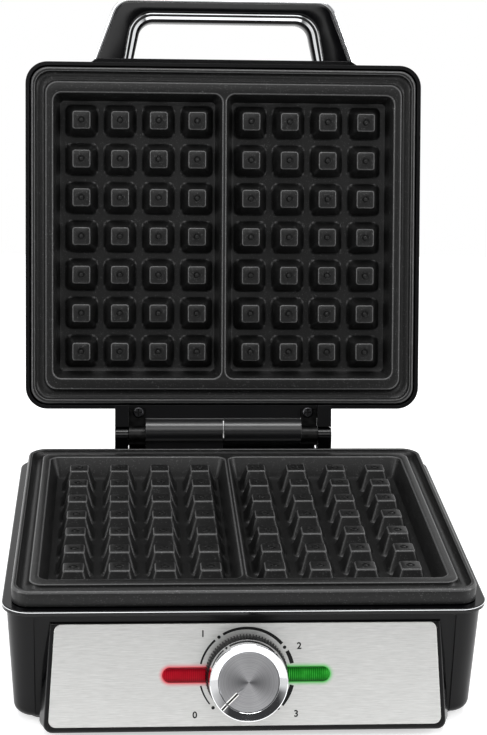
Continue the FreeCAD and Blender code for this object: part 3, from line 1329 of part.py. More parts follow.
make_lid()
make_plate("upper_plate", "upper")
make_heater("upper_heater", "upper")
make_shield("upper_heat_shield", "upper")
make_screws("lid_plate_screws", "lid", boss_spots, "lidScrewSeat",
            "lidScrewSeat - bossEnd + screwBite", up=False)
make_plugs()
for word, hand in (("left", -1), ("right", 1)):
    make_leaf(word + "_hinge_leaf", hand)
make_leaf_screws()
make_lid_barrel()
make_boss_strip()
make_handle()
make_handle_screws()

make_knob()
make_collar()
make_cap()
make_spindle()
doc.recompute()

# Frames: where each group of pieces stands

x_axis = Vector(1, 0, 0)
hinge = Vector(0, size("hingeBack"), size("hingeHeight"))
opened = Placement(hinge, Rotation(x_axis, -size("lidOpen")))
lid_frame = opened.multiply(Placement(Vector(0, -size("hingeBack"), size("lidLift")), Rotation()))
frames = {
    "base": Placement(),
    "lower": Placement(Vector(0, 0, size("ridgeHeight")), Rotation()),
    "lid": lid_frame,
    "upper": lid_frame.multiply(Placement(Vector(), Rotation(x_axis, 180))),
    "panel": Placement(Vector(0, size("panelY"), size("panelZ")), Rotation(x_axis, 90 - size("panelTilt"))),
}
for label, (body, where) in parts.items():
    body.Placement = frames[where]
doc.recompute()

# The origin moves to the middle of the open machine's box, on the table.
whole = FreeCAD.BoundBox()
for body, where in parts.values():
    whole.add(body.Shape.BoundBox)
shift = Vector(0, -whole.Center.y, 0)
for body, where in parts.values():
    body.Placement = Placement(shift, Rotation()).multiply(body.Placement)
doc.recompute()

for item in doc.Objects:
    if "Invalid" in item.State or "Error" in item.State:
        raise ValueError(f"{item.Name} failed: {item.State}")
for label, (body, where) in parts.items():
    if body.Shape.isNull() or not body.Shape.isValid():
        raise ValueError(f"{label} has no valid shape")

os.makedirs("parts", exist_ok=True)
for label, (body, where) in parts.items():
    body.Shape.exportStep(f"parts/{label}.step")

knob_spot = frames["panel"].Base + shift
print("pieces", len(parts), "shift", round(shift.y, 4))
print("hinge axis", [round(value, 4) for value in hinge + shift])
print("knob axis", [round(value, 4) for value in knob_spot])
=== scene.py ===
import json
from math import atan, cos, pi, radians, sin

import bmesh
import bpy
from mathutils import Euler, Matrix, Vector


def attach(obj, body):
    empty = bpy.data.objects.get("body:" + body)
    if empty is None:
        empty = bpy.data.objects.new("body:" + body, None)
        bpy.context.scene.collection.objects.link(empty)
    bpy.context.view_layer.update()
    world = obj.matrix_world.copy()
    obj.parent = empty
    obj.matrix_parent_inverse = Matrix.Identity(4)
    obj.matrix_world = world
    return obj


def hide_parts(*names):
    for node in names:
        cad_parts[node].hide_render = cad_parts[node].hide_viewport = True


# Waffle maker, open. Metres, in the frame of the CAD model; the pieces below are drawn in millimetres.

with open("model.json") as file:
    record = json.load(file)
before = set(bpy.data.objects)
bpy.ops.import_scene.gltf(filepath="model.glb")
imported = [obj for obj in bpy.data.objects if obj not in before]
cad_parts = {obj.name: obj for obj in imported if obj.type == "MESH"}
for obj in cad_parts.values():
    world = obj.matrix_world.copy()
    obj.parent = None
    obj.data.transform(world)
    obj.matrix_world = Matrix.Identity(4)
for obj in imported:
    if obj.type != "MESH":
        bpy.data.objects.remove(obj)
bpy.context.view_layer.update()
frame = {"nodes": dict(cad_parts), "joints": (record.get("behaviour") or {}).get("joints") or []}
nodes = frame["nodes"]
mm = 0.001
lidJoint, knobJoint = frame["joints"]
hinge = Vector(lidJoint["pos_m"])
knobSpot = Vector(knobJoint["pos_m"])
hingeBack, ridgeHeight = 119.3, 72.0  # pin behind the plate's middle, lower land above the table
lidLift = 0.2  # the closed lid's land above the pin
plateMiddle = Vector((0, hinge.y - hingeBack * mm, ridgeHeight * mm))

toMetres = Matrix.Scale(mm, 4)
lowerFrame = Matrix.Translation(plateMiddle) @ toMetres
lidFrame = (Matrix.Translation(hinge) @ Matrix.Rotation(-radians(lidJoint["range_deg"][1]), 4, "X")
            @ Matrix.Translation((0, -hingeBack * mm, lidLift * mm)) @ toMetres)
upperFrame = lidFrame @ Matrix.Rotation(pi, 4, "X")
panelOut = -Vector(knobJoint["axis"])  # away from the fascia
panelUp = panelOut.cross((1, 0, 0))
panelTurn = Vector((0, 0, 1)).rotation_difference(panelOut).to_matrix().to_4x4()
panelFrame = Matrix.Translation(knobSpot) @ panelTurn @ toMetres


# materials

softEdge = {"samples": 4, "Radius": 0.5 * mm}  # moulded and pressed edges are never sharp


def linear(hexCode):
    parts = [int(hexCode[i:i + 2], 16) / 255 for i in (1, 3, 5)]
    return tuple(c / 12.92 if c <= 0.04045 else ((c + 0.055) / 1.055) ** 2.4 for c in parts) + (1,)


def perMetre(size):
    return 1 / (size * mm)  # pattern scale for features of that many millimetres


def addNode(tree, kind, settings=None, links=None, take=0, into=None):
    made = tree.nodes.new("ShaderNode" + kind)
    for key, value in (settings or {}).items():
        if key == "stops":  # places and colours on a ramp
            while len(made.color_ramp.elements) < len(value):
                made.color_ramp.elements.new(1)
            for element, (place, colour) in zip(made.color_ramp.elements, value):
                element.position, element.color = place, linear(colour)
        elif isinstance(key, str) and hasattr(made, key):
            setattr(made, key, value)
        else:
            made.inputs[key].default_value = value
    for key, source in (links or {}).items():
        tree.links.new(source, made.inputs[key])
    if into:
        tree.links.new(made.outputs[take], into)
    return made.outputs[take]


def newMaterial(name, colour, rough, **sockets):
    made = bpy.data.materials.new(name)
    made.use_nodes = True
    tree = made.node_tree
    shader = tree.nodes["Principled BSDF"]
    shader.inputs["Base Color"].default_value = linear(colour)
    shader.inputs["Roughness"].default_value = rough
    for key, value in sockets.items():
        shader.inputs[key.replace("_", " ")].default_value = value
    coords = addNode(tree, "TexCoord", take="Object")
    return made, tree, shader.inputs, coords


def nonStick(name, colour, fleck, smooth):  # PTFE on cast aluminium: dull charcoal, flecks, rippled skin
    made, tree, shader, coords = newMaterial(name, colour, smooth, IOR=1.35)
    flecks = addNode(tree, "TexVoronoi", {"Scale": perMetre(1.1)}, {"Vector": coords})
    patches = addNode(tree, "TexNoise", {"Scale": perMetre(3), "Detail": 2}, {"Vector": coords})
    sparse = addNode(tree, "Math", {"operation": "MULTIPLY"}, {0: flecks, 1: patches})
    stops = (0.04, fleck), (0.12, colour)
    addNode(tree, "ValToRGB", {"stops": stops}, {"Fac": sparse}, into=shader["Base Color"])
    ripple = addNode(tree, "TexNoise", {"Scale": perMetre(0.6), "Detail": 3}, {"Vector": coords})
    span = {"To Min": smooth - 0.1, "To Max": smooth + 0.1}
    addNode(tree, "MapRange", span, {"Value": ripple}, into=shader["Roughness"])
    addNode(tree, "Bump", {"Strength": 0.6, "Distance": 0.06 * mm}, {"Height": ripple}, into=shader["Normal"])
    return made


def mouldedPlastic(name, low, high, rough, shine):  # black ABS, eroded grain that breaks up highlights
    made, tree, shader, coords = newMaterial(name, low, rough, Specular_IOR_Level=shine)
    grain = addNode(tree, "TexNoise", {"Scale": perMetre(0.5), "Detail": 2}, {"Vector": coords})
    span = {"To Min": rough - 0.06, "To Max": rough + 0.06}
    addNode(tree, "MapRange", span, {"Value": grain}, into=shader["Roughness"])
    tone = addNode(tree, "TexNoise", {"Scale": perMetre(60), "Detail": 3}, {"Vector": coords})
    stops = (0.35, low), (0.65, high)
    addNode(tree, "ValToRGB", {"stops": stops}, {"Fac": tone}, into=shader["Base Color"])
    edges = addNode(tree, "Bevel", softEdge)
    addNode(tree, "Bump", {"Strength": 0.4, "Distance": 0.02 * mm}, {"Height": grain, "Normal": edges},
            into=shader["Normal"])
    return made


def glossPlastic():  # polished black ABS that mirrors the studio in thin bright lines
    made, tree, shader, coords = newMaterial("glossPlastic", "#030304", 0.12, Specular_IOR_Level=0.25)
    wave = addNode(tree, "TexNoise", {"Scale": perMetre(14), "Detail": 2}, {"Vector": coords})
    addNode(tree, "MapRange", {"To Min": 0.08, "To Max": 0.18}, {"Value": wave}, into=shader["Roughness"])
    edges = addNode(tree, "Bevel", softEdge)
    addNode(tree, "Bump", {"Strength": 0.3, "Distance": 0.02 * mm}, {"Height": wave, "Normal": edges},
            into=shader["Normal"])
    return made


lightBar = {"near": 16.5, "far": 41, "half": 3.6, "foot": -1.5, "segments": 10, "flat": 0.01, "prism": 0.95,
            "dome": ((0.0, 0.4), (0.15, 0.62), (0.5, 0.76), (1.1, 0.8)), "glow": 0.12,
            "red": "#d81c38", "green": "#1cb42c",  # the light on the fascia beside each bar
            "spill": 2.6, "spillFade": 1.8, "spillGlow": 0.25}


def placeOnFascia(tree, coords):  # metres across and up from the knob's middle
    away = addNode(tree, "VectorMath", {"operation": "SUBTRACT", 1: knobSpot}, {0: coords})
    across = addNode(tree, "VectorMath", {"operation": "DOT_PRODUCT", 1: (1, 0, 0)}, {0: away}, "Value")
    up = addNode(tree, "VectorMath", {"operation": "DOT_PRODUCT", 1: panelUp}, {0: away}, "Value")
    return across, up


def brushedSteel():  # scratches along the fascia, drawn coarse enough to show, and light from the bars
    made, tree, shader, coords = newMaterial("brushedSteel", "#dcdcda", 0.42, Metallic=0.8)
    stretch = perMetre(7), perMetre(0.34), perMetre(0.34)
    along = addNode(tree, "Mapping", {"Scale": stretch}, {"Vector": coords})
    scratch = addNode(tree, "TexNoise", {"Scale": 1, "Detail": 4, "Roughness": 0.65}, {"Vector": along})
    stops = (0.25, "#bebebc"), (0.75, "#dadad8")
    steel = addNode(tree, "ValToRGB", {"stops": stops}, {"Fac": scratch})
    addNode(tree, "MapRange", {"To Min": 0.34, "To Max": 0.48}, {"Value": scratch}, into=shader["Roughness"])
    edges = addNode(tree, "Bevel", softEdge)
    addNode(tree, "Bump", {"Strength": 0.3, "Distance": 0.012 * mm}, {"Height": scratch, "Normal": edges},
            into=shader["Normal"])
    across, up = placeOnFascia(tree, coords)
    reach = addNode(tree, "Math", {"operation": "ABSOLUTE"}, {0: across})
    straight = (lightBar["far"] - lightBar["half"]) * mm
    past = addNode(tree, "Math", {"operation": "SUBTRACT", 1: straight}, {0: reach})
    past = addNode(tree, "Math", {"operation": "MAXIMUM", 1: 0}, {0: past})
    flat = addNode(tree, "CombineXYZ", links={"X": past, "Y": up})
    away = addNode(tree, "VectorMath", {"operation": "LENGTH"}, {0: flat}, "Value")
    span = {"From Min": lightBar["half"] * mm, "From Max": (lightBar["half"] + lightBar["spill"]) * mm,
            "To Min": 1, "To Max": 0}
    near = addNode(tree, "MapRange", span, {"Value": away})
    spill = addNode(tree, "Math", {"operation": "POWER", 1: lightBar["spillFade"]}, {0: near})
    right = addNode(tree, "Math", {"operation": "GREATER_THAN", 1: 0}, {0: across})
    lights = {"Color1": linear(lightBar["red"]), "Color2": linear(lightBar["green"])}
    light = addNode(tree, "MixRGB", lights, {"Fac": right})
    addNode(tree, "MixRGB", None, {"Fac": spill, "Color1": steel, "Color2": light}, into=shader["Base Color"])
    dark = {"Color1": (0, 0, 0, 1)}
    addNode(tree, "MixRGB", dark, {"Fac": spill, "Color2": light}, into=shader["Emission Color"])
    shader["Emission Strength"].default_value = lightBar["spillGlow"]
    return made


def chromePlate():  # mirror plating, with the faint ripple of plated plastic
    made, tree, shader, coords = newMaterial("chromePlate", "#e4e5e7", 0.06, Metallic=1.0)
    ripple = addNode(tree, "TexNoise", {"Scale": perMetre(9), "Detail": 2}, {"Vector": coords})
    addNode(tree, "MapRange", {"To Min": 0.04, "To Max": 0.1}, {"Value": ripple}, into=shader["Roughness"])
    addNode(tree, "Bump", {"Strength": 0.2, "Distance": 0.02 * mm}, {"Height": ripple}, into=shader["Normal"])
    return made


def spunAluminium():  # turned rings, coarse enough to show; the sheen fans out from the middle, and the dark fans at the sides are painted shade
    made, tree, shader, coords = newMaterial("spunAluminium", "#b4b4b5", 0.3, Metallic=1.0, Anisotropic=0.8)
    out = addNode(tree, "VectorMath", {"operation": "SUBTRACT", 1: knobSpot}, {0: coords})
    turned = addNode(tree, "VectorMath", {"operation": "CROSS_PRODUCT", 0: panelOut}, {1: out},
                     into=shader["Tangent"])
    radius = addNode(tree, "VectorMath", {"operation": "LENGTH"}, {0: turned}, "Value")
    fine = {"noise_dimensions": "1D", "Scale": perMetre(0.3), "Detail": 3}
    rings = addNode(tree, "TexNoise", fine, {"W": radius})
    stops = (0.3, "#929294"), (0.7, "#b0b0b2")
    bright = addNode(tree, "ValToRGB", {"stops": stops}, {"Fac": rings})
    across, up = placeOnFascia(tree, coords)
    turn = addNode(tree, "Math", {"operation": "ARCTAN2"}, {0: across, 1: up})
    turn = addNode(tree, "Math", {"operation": "MULTIPLY", 1: 2}, {0: turn})
    paintedFanShade = addNode(tree, "Math", {"operation": "COSINE"}, {0: turn})
    paintedFanShade = addNode(tree, "MapRange", {"From Min": 0.6, "From Max": -1}, {"Value": paintedFanShade})  # painted shade, full at the sides
    fade = {"From Min": 2 * mm, "From Max": 14 * mm, "To Min": 0.9, "To Max": 0.3}
    fade = addNode(tree, "MapRange", fade, {"Value": radius})
    paintedFanShade = addNode(tree, "Math", {"operation": "MULTIPLY"}, {0: paintedFanShade, 1: fade})
    # dark fans at the sides: painted shade mixed into the colour
    shade = {"Color2": linear("#4c4c4e")}
    addNode(tree, "MixRGB", shade, {"Fac": paintedFanShade, "Color1": bright}, into=shader["Base Color"])
    addNode(tree, "Bump", {"Strength": 0.2, "Distance": 0.006 * mm}, {"Height": rings}, into=shader["Normal"])
    return made


def lampPlastic(name, edge, middle, prisms):  # clear coloured acrylic, prisms inside, lit from behind
    made, tree, shader, coords = newMaterial(name, edge, 0.2, Specular_IOR_Level=0.12)
    across, up = placeOnFascia(tree, coords)
    high = addNode(tree, "Math", {"operation": "ABSOLUTE"}, {0: up})
    span = {"From Min": 0.35 * lightBar["half"] * mm, "From Max": 0.95 * lightBar["half"] * mm,
            "To Min": 1, "To Max": 0}
    inside = addNode(tree, "MapRange", span, {"Value": high})
    body = addNode(tree, "MixRGB", {"Color1": linear(edge), "Color2": linear(middle)}, {"Fac": inside})
    count = 2 * pi * perMetre(lightBar["prism"])
    turns = addNode(tree, "Math", {"operation": "MULTIPLY", 1: count}, {0: across})
    wave = addNode(tree, "Math", {"operation": "SINE"}, {0: turns})
    patch = addNode(tree, "TexNoise", {"Scale": perMetre(5), "Detail": 2}, {"Vector": coords})
    wave = addNode(tree, "Math", {"operation": "MULTIPLY"}, {0: wave, 1: patch})
    lit = addNode(tree, "MapRange", {"From Min": 0.2, "From Max": 0.6}, {"Value": wave})
    lit = addNode(tree, "Math", {"operation": "MULTIPLY"}, {0: lit, 1: inside})
    colour = addNode(tree, "MixRGB", {"Color2": linear(prisms)}, {"Fac": lit, "Color1": body},
                     into=shader["Base Color"])
    tree.links.new(colour, shader["Emission Color"])
    shader["Emission Strength"].default_value = lightBar["glow"]
    addNode(tree, "Bump", {"Strength": 0.3, "Distance": 0.1 * mm}, {"Height": wave}, into=shader["Normal"])
    return made


def printAndShadeInk():  # screen-printed black, a little uneven; also the painted shade in screw crosses and pointer groove
    made, tree, shader, coords = newMaterial("printAndShadeInk", "#060606", 0.5, Specular_IOR_Level=0.2)
    pores = addNode(tree, "TexNoise", {"Scale": perMetre(0.3)}, {"Vector": coords})
    stops = (0.3, "#040404"), (0.7, "#101010")
    addNode(tree, "ValToRGB", {"stops": stops}, {"Fac": pores}, into=shader["Base Color"])
    return made


def paintedPointerGlint():  # painted highlight on the pointer groove's edge, white and faintly clouded
    made, tree, shader, coords = newMaterial("paintedPointerGlint", "#f4f4f2", 0.35)
    cloud = addNode(tree, "TexNoise", {"Scale": perMetre(0.8)}, {"Vector": coords})
    stops = (0.3, "#ececea"), (0.7, "#f8f8f6")
    addNode(tree, "ValToRGB", {"stops": stops}, {"Fac": cloud}, into=shader["Base Color"])
    return made


def handledMetal(name, low, high, rough):  # drawn or plated steel, clouded by handling
    made, tree, shader, coords = newMaterial(name, low, rough, Metallic=1.0)
    cloud = addNode(tree, "TexNoise", {"Scale": perMetre(3), "Detail": 4}, {"Vector": coords})
    stops = (0.3, low), (0.7, high)
    addNode(tree, "ValToRGB", {"stops": stops}, {"Fac": cloud}, into=shader["Base Color"])
    wearAndHighlight = {"To Min": rough - 0.1, "To Max": rough + 0.12}
    addNode(tree, "MapRange", wearAndHighlight, {"Value": cloud}, into=shader["Roughness"])
    addNode(tree, "Bump", {"Strength": 0.2, "Distance": 0.02 * mm}, {"Height": cloud}, into=shader["Normal"])
    return made


def softRubber():  # dull rubber with a dusty bloom
    made, tree, shader, coords = newMaterial("footRubber", "#141414", 0.8)
    dust = addNode(tree, "TexNoise", {"Scale": perMetre(1.2), "Detail": 4}, {"Vector": coords})
    stops = (0.4, "#0e0e0e"), (0.7, "#222222")
    addNode(tree, "ValToRGB", {"stops": stops}, {"Fac": dust}, into=shader["Base Color"])
    addNode(tree, "Bump", {"Strength": 0.4, "Distance": 0.04 * mm}, {"Height": dust}, into=shader["Normal"])
    return made


def paleCeramic():  # unglazed terminal block, chalky and uneven
    made, tree, shader, coords = newMaterial("paleCeramic", "#d8d4c8", 0.6)
    grain = addNode(tree, "TexNoise", {"Scale": perMetre(0.8), "Detail": 3}, {"Vector": coords})
    stops = (0.3, "#cfcabc"), (0.7, "#e2dfd4")
    addNode(tree, "ValToRGB", {"stops": stops}, {"Fac": grain}, into=shader["Base Color"])
    return made


def lampGlass():  # clear bulb behind the bar, with seeds in the glass
    made, tree, shader, coords = newMaterial("lampGlass", "#f4efe2", 0.05, Transmission_Weight=0.9, IOR=1.5)
    seeds = addNode(tree, "TexNoise", {"Scale": perMetre(2)}, {"Vector": coords})
    addNode(tree, "Bump", {"Strength": 0.2, "Distance": 0.02 * mm}, {"Height": seeds}, into=shader["Normal"])
    return made


coating = nonStick("nonStickCoating", "#0c0c0c", "#444444", 0.4)
edgeHighlightCoating = nonStick("edgeHighlightCoating", "#464646", "#707070", 0.3)  # painted highlight: a lighter, smoother copy of the coating for the edge bands
moulded = mouldedPlastic("mouldedPlastic", "#050506", "#0a0a0b", 0.32, 0.15)
satin = mouldedPlastic("satinPlastic", "#0c0c0d", "#121213", 0.3, 0.6)  # the hinge barrels shine more
gloss, brushed = glossPlastic(), brushedSteel()
chrome, spun, inkAndShade, rubber = chromePlate(), spunAluminium(), printAndShadeInk(), softRubber()
zinc = handledMetal("zincSteel", "#77787a", "#a8a9ab", 0.35)
heaterSteel = handledMetal("heaterSteel", "#5b5a56", "#82807a", 0.45)
blackSteel = handledMetal("blackSteel", "#151515", "#262626", 0.34)
darkZinc = handledMetal("darkZinc", "#2c2c2e", "#4c4c4e", 0.3)
shieldSheet = handledMetal("shieldSheet", "#a6a8aa", "#c9cbcd", 0.3)
redBar = lampPlastic("redBar", "#5c000c", "#8c0214", "#ac1024")
greenBar = lampPlastic("greenBar", "#024006", "#066a0e", "#48c048")
ceramic, bulb, glintWhite = paleCeramic(), lampGlass(), paintedPointerGlint()
print("materials ready")

finishes = {
    moulded: "base_tub lid_housing thermostat knob_body",
    satin: "base_barrel lid_barrel",
    gloss: ("control_bezel left_hinge_post right_hinge_post screw_plugs handle_core handle_boss cord_gland"
            " trim_ring"),
    coating: "lower_plate upper_plate",
    heaterSteel: "lower_heater upper_heater",
    shieldSheet: "lower_heat_shield upper_heat_shield",
    zinc: ("plate_screws bezel_screws rear_screws lid_plate_screws handle_screws thermostat_spindle"
           " thermal_cutout"),
    blackSteel: "left_hinge_leaf right_hinge_leaf left_hinge_pin right_hinge_pin",
    darkZinc: "leaf_screws",
    ceramic: "terminal_block",
    rubber: "rubber_feet",
    brushed: "control_panel",
    redBar: "red_lens",
    greenBar: "green_lens",
    bulb: "red_lamp green_lamp",
    chrome: "handle_outer_trim handle_inner_trim knob_collar",
    spun: "knob_cap",
}
for finish, names in finishes.items():
    for name in names.split():
        nodes[name].data.materials.clear()
        nodes[name].data.materials.append(finish)
print("CAD nodes finished")


# mesh helpers

def newPiece(name, bm, place, material, body, stands=None, sharp=35, edges=None):
    bmesh.ops.transform(bm, matrix=place, verts=bm.verts)
    bmesh.ops.recalc_face_normals(bm, faces=bm.faces)
    mesh = bpy.data.meshes.new(name)
    bm.to_mesh(mesh)
    bm.free()
    mesh.materials.append(material)
    if edges:
        mesh.materials.append(edges)
    mesh.shade_smooth()
    mesh.set_sharp_from_angle(angle=radians(sharp))
    made = bpy.data.objects.new(name, mesh)
    bpy.context.scene.collection.objects.link(made)
    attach(made, body)
    if stands:
        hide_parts(stands)
    return made


def roundedFace(bm, width, depth, corner, z, x, segments):
    place = Matrix.Translation((x, 0, z)) @ Matrix.Diagonal((width, depth, 1, 1))
    made = bmesh.ops.create_grid(bm, x_segments=1, y_segments=1, size=0.5, matrix=place)
    rounded = bmesh.ops.bevel(bm, geom=made["verts"], offset=corner, segments=segments, profile=0.5,
                              affect="VERTICES", material=-1)
    return rounded["verts"][0].link_faces[0]


def skin(bm, sections, x=0, segments=8, cap=True, wearAndHighlight=()):  # bands between rounded sections
    loops = []
    for width, depth, corner, z in sections:
        face = roundedFace(bm, width, depth, corner, z, x, segments)
        loops.append(list(face.edges))
        if len(loops) < len(sections) or not cap:
            bmesh.ops.delete(bm, geom=[face], context="FACES_ONLY")
        if len(loops) > 1:
            band = bmesh.ops.bridge_loops(bm, edges=loops[-2] + loops[-1])
            for side in band["faces"]:
                # listed bands take the second material; on the plates that is the painted edge highlight
                side.material_index = int(len(loops) - 1 in wearAndHighlight)
    return loops


def closeHoles(bm):
    bmesh.ops.holes_fill(bm, edges=[edge for edge in bm.edges if edge.is_boundary], sides=0)


def splitLargeFaces(bm):
    bmesh.ops.triangulate(bm, faces=[face for face in bm.faces if len(face.verts) > 4])


# waffle plates: rim, round gutter, land with soft edges, two wells and their pegs

plate = {"width": 230, "depth": 200, "corner": 10, "fieldWidth": 204, "fieldDepth": 170, "lean": 4,
         "divider": 2.4, "pitch": 23, "first": 16.2, "columns": 4, "rows": 7,
         "block": 16, "blockMargin": 10, "blockCorner": 5,  # the casting's back
         "skirt": 8.4, "foot": ((0.9, 0), (0, 0.5)),  # inset, and height above the skirt's end
         "brow": ((0, -1.2), (0.35, -0.4), (1.0, 0)),  # inset and height of the rim's round outer edge
         "rim": 2.3, "rimRound": 0.4, "landRound": 0.7,
         "gutter": 6.2, "gutterDepth": 3.0, "gutterSink": 0.3, "gutterCorner": 6.5, "gutterSteps": 12,
         "wall": ((-0.7, 0, 5.7), (-0.25, -0.1, 5.3), (0.1, -0.45, 5), (3.3, -10.4, 3), (3.9, -11.5, 2.4),
                  (5.2, -12, 1.4)),  # inset, height and corner of the well's side
         "peg": ((20, 3.6, -12), (18.3, 3.2, -11.5), (17.3, 2.9, -10.5), (10.7, 1.5, -1.2),
                 (10.25, 1.4, -0.7), (9.5, 1.2, -0.5), (4.4, 2.19, -0.5), (4.0, 1.99, -1.3),
                 (2.7, 1.34, -1.5), (2.2, 1.09, -0.6), (1.2, 0.59, -0.45)),  # width, corner and height
         "highlightRim": (5, 6, 8, 21), "highlightWall": (1, 2), "highlightPeg": (4, 5)}  # bands on the edges, made lighter as painted highlight


def plateRim(bm):
    p = plate
    across = [(inset, rise - p["skirt"]) for inset, rise in p["foot"]]
    across += [*p["brow"], (p["rim"] - p["rimRound"], 0)]
    for k in range(p["gutterSteps"] + 1):  # the gutter's round bottom
        turn = k / p["gutterSteps"] * pi
        inset = p["rim"] + p["gutter"] / 2 * (1 - cos(turn))
        across.append((inset, -p["gutterDepth"] * sin(turn) - p["gutterSink"]))
    across.append((p["rim"] + p["gutter"] + p["landRound"], 0))
    inner = across[-1][0]
    block = [p[size] - 2 * p["lean"] + p["blockMargin"] for size in ("fieldWidth", "fieldDepth")]
    sections = [(*block, p["blockCorner"], z) for z in (-p["block"], -p["skirt"])]
    for inset, z in across:
        corner = p["corner"] + (p["gutterCorner"] - p["corner"]) * inset / inner
        sections.append((p["width"] - 2 * inset, p["depth"] - 2 * inset, corner, z))
    return skin(bm, sections, cap=False, wearAndHighlight=p["highlightRim"])[-1]


def plateWell(bm, side):
    p = plate
    width = (p["fieldWidth"] - p["divider"]) / 2
    middle = side * (width + p["divider"]) / 2
    sections = [(width - 2 * inset, p["fieldDepth"] - 2 * inset, corner, z) for inset, z, corner in p["wall"]]
    return skin(bm, sections, middle, wearAndHighlight=p["highlightWall"])[0]


def pegMesh():
    bm = bmesh.new()
    sections = [(width, width, corner, z) for width, corner, z in plate["peg"]]
    skin(bm, sections, segments=4, wearAndHighlight=plate["highlightPeg"])
    closeHoles(bm)
    made = bpy.data.meshes.new("waffleShapedPeg")
    bm.to_mesh(made)
    bm.free()
    return made


def buildPlate(name, place, body, stands):
    p = plate
    bm = bmesh.new()
    land = plateRim(bm)
    mouths = plateWell(bm, -1) + plateWell(bm, 1)
    bmesh.ops.triangle_fill(bm, edges=land + mouths, use_beauty=True)
    closeHoles(bm)
    for side in (-1, 1):
        for column in range(p["columns"]):
            for row in range(p["rows"]):
                x = side * (p["first"] + column * p["pitch"])
                spot = Vector((x, (row - (p["rows"] - 1) / 2) * p["pitch"], 0))
                pegShape.transform(Matrix.Translation(spot))
                bm.from_mesh(pegShape)
                pegShape.transform(Matrix.Translation(-spot))
    splitLargeFaces(bm)
    # edge bands in the lighter coating: painted highlight
    return newPiece(name, bm, place, coating, body, stands, sharp=38, edges=edgeHighlightCoating)


pegShape = pegMesh()
buildPlate("lowerPlateCasting", lowerFrame, "base", "lower_plate")
buildPlate("upperPlateCasting", upperFrame, "lid", "upper_plate")
print("plates cast")


# handle: strips swept along the arch, in the lid's plane
# each of its two lines has half the width at the foot, half the width at the head, a reach and a corner

arch = {"lidEdge": 103.285, "boss": 2.6, "height": 15, "steps": 10,
        "outside": (78, 65, 36.5, 12), "gap": (54.5, 49.75, 22.6, 9), "outer": 2.4, "inner": 5.2,
        "strip": 7, "stripRound": 1, "grip": 8.5, "gripRound": 1,
        "beads": ((-5.2, -6), (-5.05, -6.8), (-4.55, -6.6), (-4.45, -5.9), (-3.15, -5.9), (-3.05, -7),
                  (-1.6, -6.4), (-1.5, -5.6), (-0.3, -5.4), (0, -5), (0, 5), (-0.3, 6.4), (-0.9, 7),
                  (-4.4, 7), (-5.2, 6.3)),
        "unplated": (2, 3, 6, 7, 8, 9)}  # black bands between the bright beads


def archLine(line, inset):
    foot, head, reach, corner = (value - inset for value in arch[line])
    root = -arch["lidEdge"] - arch["boss"]
    slant = atan((foot - head) / reach)  # a leg leans in by this from square
    back = corner * (1 - sin(slant)) / cos(slant)
    right = [(foot, 0)]
    for k in range(arch["steps"] + 1):
        turn = slant + (pi / 2 - slant) * k / arch["steps"]
        right.append((head - back + corner * cos(turn), reach - corner + corner * sin(turn)))
    return [(x, root - y) for x, y in right] + [(-x, root - y) for x, y in reversed(right)]


def sweepArch(name, section, material, stands, dark=()):
    bm = bmesh.new()
    chains = []
    for line, inset, z in section:
        verts = [bm.verts.new((x, y, arch["height"] + z)) for x, y in archLine(line, inset)]
        chains.append([bm.edges.new(pair) for pair in zip(verts, verts[1:])])
    for k, (first, second) in enumerate(zip(chains, chains[1:] + chains[:1])):
        band = bmesh.ops.bridge_loops(bm, edges=first + second)
        for face in band["faces"]:
            face.material_index = int(k in dark)
    closeHoles(bm)
    between = gloss if dark else None
    return newPiece(name, bm, lidFrame, material, "lid", stands, sharp=40, edges=between)


def roundedSection(near, far, half, corner, steps=4):
    points = []
    corners = (near, 1, 1, 0.5), (near, 1, -1, 1.0), (far, -1, -1, 1.5), (far, -1, 1, 2.0)
    for (line, inset), sx, sz, start in corners:
        for k in range(steps + 1):
            turn = (start + 0.5 * k / steps) * pi
            x, z = sx * corner + corner * cos(turn), sz * (half - corner) + corner * sin(turn)
            points.append((line, inset + x, z))
    return points


rim, gripFront, gripBack = ("outside", 0), ("outside", arch["outer"]), ("gap", -arch["inner"])
sweepArch("handleOuterStrip", roundedSection(rim, gripFront, arch["strip"], arch["stripRound"]), chrome,
          "handle_outer_trim")
sweepArch("handleGrip", roundedSection(gripFront, gripBack, arch["grip"], arch["gripRound"]), gloss,
          "handle_core")
sweepArch("handleInnerStrip", [("gap", inset, z) for inset, z in arch["beads"]], chrome,
          "handle_inner_trim", arch["unplated"])
print("handle swept")


# knob: ribbed skirt, dished chrome ring, pointer groove drawn as painted highlight in white and painted shade
# in black; pairs are radius and height

knob = {"ribs": 80, "ribDepth": 0.8, "skirt": ((20.4, 1.4), (20.3, 2.2), (19.45, 9.9), (19.2, 10.4)),
        "rib": ((-0.5, 1), (-0.28, 1), (-0.18, 0), (0.18, 0), (0.28, 1), (0.5, 1)),  # part of a step, depth
        "ring": ((14.9, 10.42), (19.3, 10.42), (19.3, 10.8), (19.0, 18.0), (18.95, 18.8), (18.8, 19.1),
                 (18.5, 19.2), (18.25, 19.12), (15.0, 18.31), (14.93, 18.24), (14.9, 18.0), (14.9, 10.42)),
        "ringSteps": 96, "pointerTurn": 225, "glintWidth": 1.9, "core": 0.9, "coreLift": 0.04,
        "thick": 0.2, "edge": 0.06, "onDisc": ((7.6, 18.14), (14.6, 18.14)),
        "onRing": ((15.2, 18.33), (18.3, 19.1)), "filled": 1.0, "inGroove": ((3.8, 18.095), (8, 18.095))}


